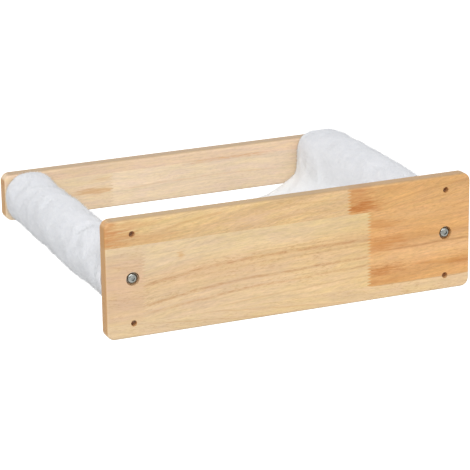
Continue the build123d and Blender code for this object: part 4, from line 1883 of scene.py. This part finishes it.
@dataclass(frozen=True)
class Lining:
    """The lining under the bed, in millimetres.

    It runs from one lower crease to the other, and its two ends have turned hems.

    Attributes:
        finish: The cloth.
        thread: The sewing thread.
        right_x: X of its right edge, at the right tunnel's seam.
        left_x: X of its left edge, at the left tunnel's seam.
        front_y: Y of its front end.
        wall_y: Y of its wall end.
        cell: Size of one cell of its mesh.
        gap: Space between it and the plush.
        thickness: Its thickness.
        hem_thickness: Its thickness where it is turned over.
        hem: Width of the hem.
        ease: How much it hangs away from the plush in soft waves.
        reach: How far from its ends it stops following the plush, which is rounded off there.
        seam_inset: Distance of the seams' stitches from its edges.
        hem_inset: Distance of the hems' stitches from the inner edge of each hem.
    """

    finish: PlainWeave
    thread: SpunThread
    right_x: float = 150.2
    left_x: float = -146.2
    front_y: float = BOARD_THICKNESS - HAMMOCK_DEPTH + 3.4
    wall_y: float = -BOARD_THICKNESS - 3.4
    cell: float = 4.0
    gap: float = 0.35
    thickness: float = 1.0
    hem_thickness: float = 1.9
    hem: float = 11.0
    ease: float = 0.5
    reach: float = 2.2
    seam_inset: float = 1.6
    hem_inset: float = 2.2

    def build(self, plush: Piece) -> None:
        """Make the lining with its hems, seams and stitches.

        Args:
            plush: The plush sheet that it lines.
        """
        lining = self.cut()
        self.press(lining, plush)
        width, length = self.width_of(lining), self.wall_y - self.front_y
        self.thicken(lining)
        lining.data.materials.append(self.finish.material())
        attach(lining, "root")
        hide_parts("hammock_lining")
        rows = self.sew(lining)
        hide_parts("seam_thread_right")
        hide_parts("seam_thread_left")
        LOG.info("lining cut %.0f x %.0f mm, %d rows of stitches", width, length, len(rows))

    def cut(self) -> Piece:
        """Lay the lining out flat below the bed, with rows of points along its hems.

        Returns:
            The flat lining.
        """
        columns = int((self.right_x - self.left_x) / self.cell)
        length = self.wall_y - self.front_y
        tips = np.array((0.0, 1.2, 4.0, 8.0, self.hem - 0.4, self.hem + 0.4))
        middle = np.linspace(self.hem + 4.0, length - self.hem - 4.0, int((length - 30.0) / self.cell))
        rows = np.concatenate((tips, middle, length - tips[::-1]))
        bpy.ops.mesh.primitive_grid_add(x_subdivisions=columns, y_subdivisions=len(rows) - 1, size=1.0)
        lining = bpy.context.object
        lining.name = lining.data.name = "bed_lining"
        across = np.linspace(self.left_x, self.right_x, columns + 1)
        places = np.zeros((len(rows), columns + 1, 3))
        places[:, :, 0] = across[None, :]
        places[:, :, 1] = self.front_y + rows[:, None]
        places[:, :, 2] = -90.0
        lining.data.vertices.foreach_set("co", (places * MM).ravel())
        lining.data.update()
        return lining

    def press(self, lining: Piece, plush: Piece) -> None:
        """Lift the flat lining against the underside of the plush, and ease it into soft waves.

        Args:
            lining: The flat lining.
            plush: The plush sheet.
        """
        surface = tree_of(plush)
        places = read_points(lining.data)
        inner = np.clip(places[:, 1], (self.front_y + self.reach) * MM, (self.wall_y - self.reach) * MM)
        for k, place in enumerate(places):
            hit = surface.ray_cast(Vector((place[0], inner[k], place[2])), Vector((0, 0, 1)))[0]
            places[k, 2] = hit.z
        touch = places[:, 2].copy()
        edge = np.minimum(self.right_x * MM - places[:, 0], places[:, 0] - self.left_x * MM) / (30.0 * MM)
        ease = self.ease * MM * np.clip(edge, 0.0, 1.0)
        for k, place in enumerate(places):
            wave = noise.noise(Vector((place[0] / (55 * MM), place[1] / (26 * MM), 3.0)))
            places[k, 2] -= ease[k] * (1.0 + wave)
        lining.data.vertices.foreach_set("co", places.ravel())
        lining.data.update()
        apply_modifier(lining, "SMOOTH", factor=0.5, iterations=3)
        places = read_points(lining.data)
        places[:, 2] = np.minimum(places[:, 2], touch) - self.gap * MM
        places[:, 1] = np.clip(places[:, 1], self.front_y * MM, self.wall_y * MM)
        lining.data.vertices.foreach_set("co", places.ravel())
        lining.data.update()

    def width_of(self, lining: Piece) -> float:
        """Measure the lining's cut width: its length across the bed, halfway along it.

        Args:
            lining: The lining before it has its thickness.

        Returns:
            The width in millimetres.
        """
        places = read_points(lining.data)
        middle_y = (self.front_y + self.wall_y) / 2 * MM
        row_y = places[np.argmin(np.abs(places[:, 1] - middle_y)), 1]
        row = places[np.abs(places[:, 1] - row_y) < 0.5 * MM]
        row = row[np.argsort(row[:, 0])]
        return float(np.linalg.norm(np.diff(row, axis=0), axis=1).sum()) / MM

    def thicken(self, lining: Piece) -> None:
        """Give the lining its thickness downwards, twice as much in its hems, and round its edges a little.

        Args:
            lining: The lining.
        """
        mesh = lining.data
        if mesh.polygons[0].normal.z > 0:
            turn_over(lining)
        places = read_points(mesh)
        from_end = np.minimum(places[:, 1] - self.front_y * MM, self.wall_y * MM - places[:, 1]) / MM
        thick = np.where(from_end < self.hem, self.hem_thickness, self.thickness)
        group = lining.vertex_groups.new(name="thick")
        for k, value in enumerate(thick / self.hem_thickness):
            group.add([k], float(value), "REPLACE")
        apply_modifier(lining, "SOLIDIFY", thickness=self.hem_thickness * MM, offset=1.0,
                       vertex_group="thick")
        lining.vertex_groups.clear()
        apply_modifier(lining, "BEVEL", width=0.3 * MM, segments=2, limit_method="ANGLE", angle_limit=1.0)
        select_only(lining)
        bpy.ops.object.shade_smooth_by_angle(angle=0.8)

    def sew(self, lining: Piece) -> list[Piece]:
        """Sew the two seams and the two hems.

        Args:
            lining: The finished lining.

        Returns:
            The right seam, the left seam, and the front and wall hems.
        """
        front, wall = self.front_y + 2.0, self.wall_y - 2.0
        right, left = self.right_x - self.seam_inset, self.left_x + self.seam_inset
        front_hem = self.front_y + self.hem - self.hem_inset
        wall_hem = self.wall_y - self.hem + self.hem_inset
        runs = (("seam_stitches_right", (right, front), (right, wall)),
                ("seam_stitches_left", (left, front), (left, wall)),
                ("hem_stitches_front", (left + 4, front_hem), (right - 4, front_hem)),
                ("hem_stitches_wall", (left + 4, wall_hem), (right - 4, wall_hem)))
        return [StitchRow(name, first, last, self.thread).build(lining) for name, first, last in runs]


def even_out(points: np.ndarray, count: int) -> np.ndarray:
    """Respace points along their own line.

    Args:
        points: The line.
        count: How many points the new line has.

    Returns:
        The new line.
    """
    run = np.concatenate(((0.0,), np.cumsum(np.linalg.norm(np.diff(points, axis=0), axis=1))))
    where = np.linspace(0.0, run[-1], count)
    return np.stack([np.interp(where, run, points[:, k]) for k in range(points.shape[1])], axis=1)


def unit(vectors: np.ndarray) -> np.ndarray:
    """Bring every vector to a length of 1."""
    return vectors / np.linalg.norm(vectors, axis=1, keepdims=True)


def normals_of(points: np.ndarray) -> np.ndarray:
    """Give the outward normal at each point of the sheet's profile."""
    along = unit(np.gradient(points, axis=0))
    return np.stack((along[:, 1], -along[:, 0]), axis=1)


def read_points(mesh: bpy.types.Mesh, what: str = "co") -> np.ndarray:
    """Read the place or the normal of every point of a mesh.

    Args:
        mesh: The mesh.
        what: "co" for the places and "normal" for the normals.

    Returns:
        X, Y and Z for each point.
    """
    values = np.zeros(len(mesh.vertices) * 3)
    mesh.vertices.foreach_get(what, values)
    return values.reshape(-1, 3)


def tree_of(piece: Piece) -> BVHTree:
    """Prepare a piece's surface for finding where a line meets it.

    Args:
        piece: The piece.

    Returns:
        The surface's tree.
    """
    mesh = piece.data
    faces = [list(face.vertices) for face in mesh.polygons]
    return BVHTree.FromPolygons([vertex.co[:] for vertex in mesh.vertices], faces)


def main() -> None:
    """Build the studio and every part of the hammock in turn."""
    logging.basicConfig(level=logging.INFO, format="%(name)s: %(message)s")
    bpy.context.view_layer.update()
    Studio().build()
    for board in (WALL_BOARD, FRONT_BOARD):
        board.build()
        LOG.info("board of %d staves dressed", len(board.staves))
    bright = TurnedSteel("bright_zinc_plated_steel", "#989995", "#797C78", 0.14)
    FurnitureScrew(bright, node="bolt", piece="screw").build()
    zinc = TurnedSteel("zinc_plated_steel", "#C6C8C4", "#A6A9A4", 0.3)
    PlainWasher(zinc, node="washer", piece="plain_washer").build()
    yellow = TurnedSteel("yellow_zinc_plated_steel", "#CDBB8C", "#B09C6A", 0.3).material()
    dowel = DowelWood().material()
    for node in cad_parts:
        if node.startswith("insert"):
            dress(node, yellow)
        elif node.startswith("rod"):
            dress(node, dowel)
    LOG.info("rods and fittings dressed")
    fibre = PlushPile("plush_pile_fibre", "#F4F5F8", "#EDEFF3", sheen=0.6)
    plush = PlushBed(PlushPile(), fibre, KnitBacking()).build()
    Lining(PlainWeave(), SpunThread()).build(plush)


if __name__ == "__main__":
    main()
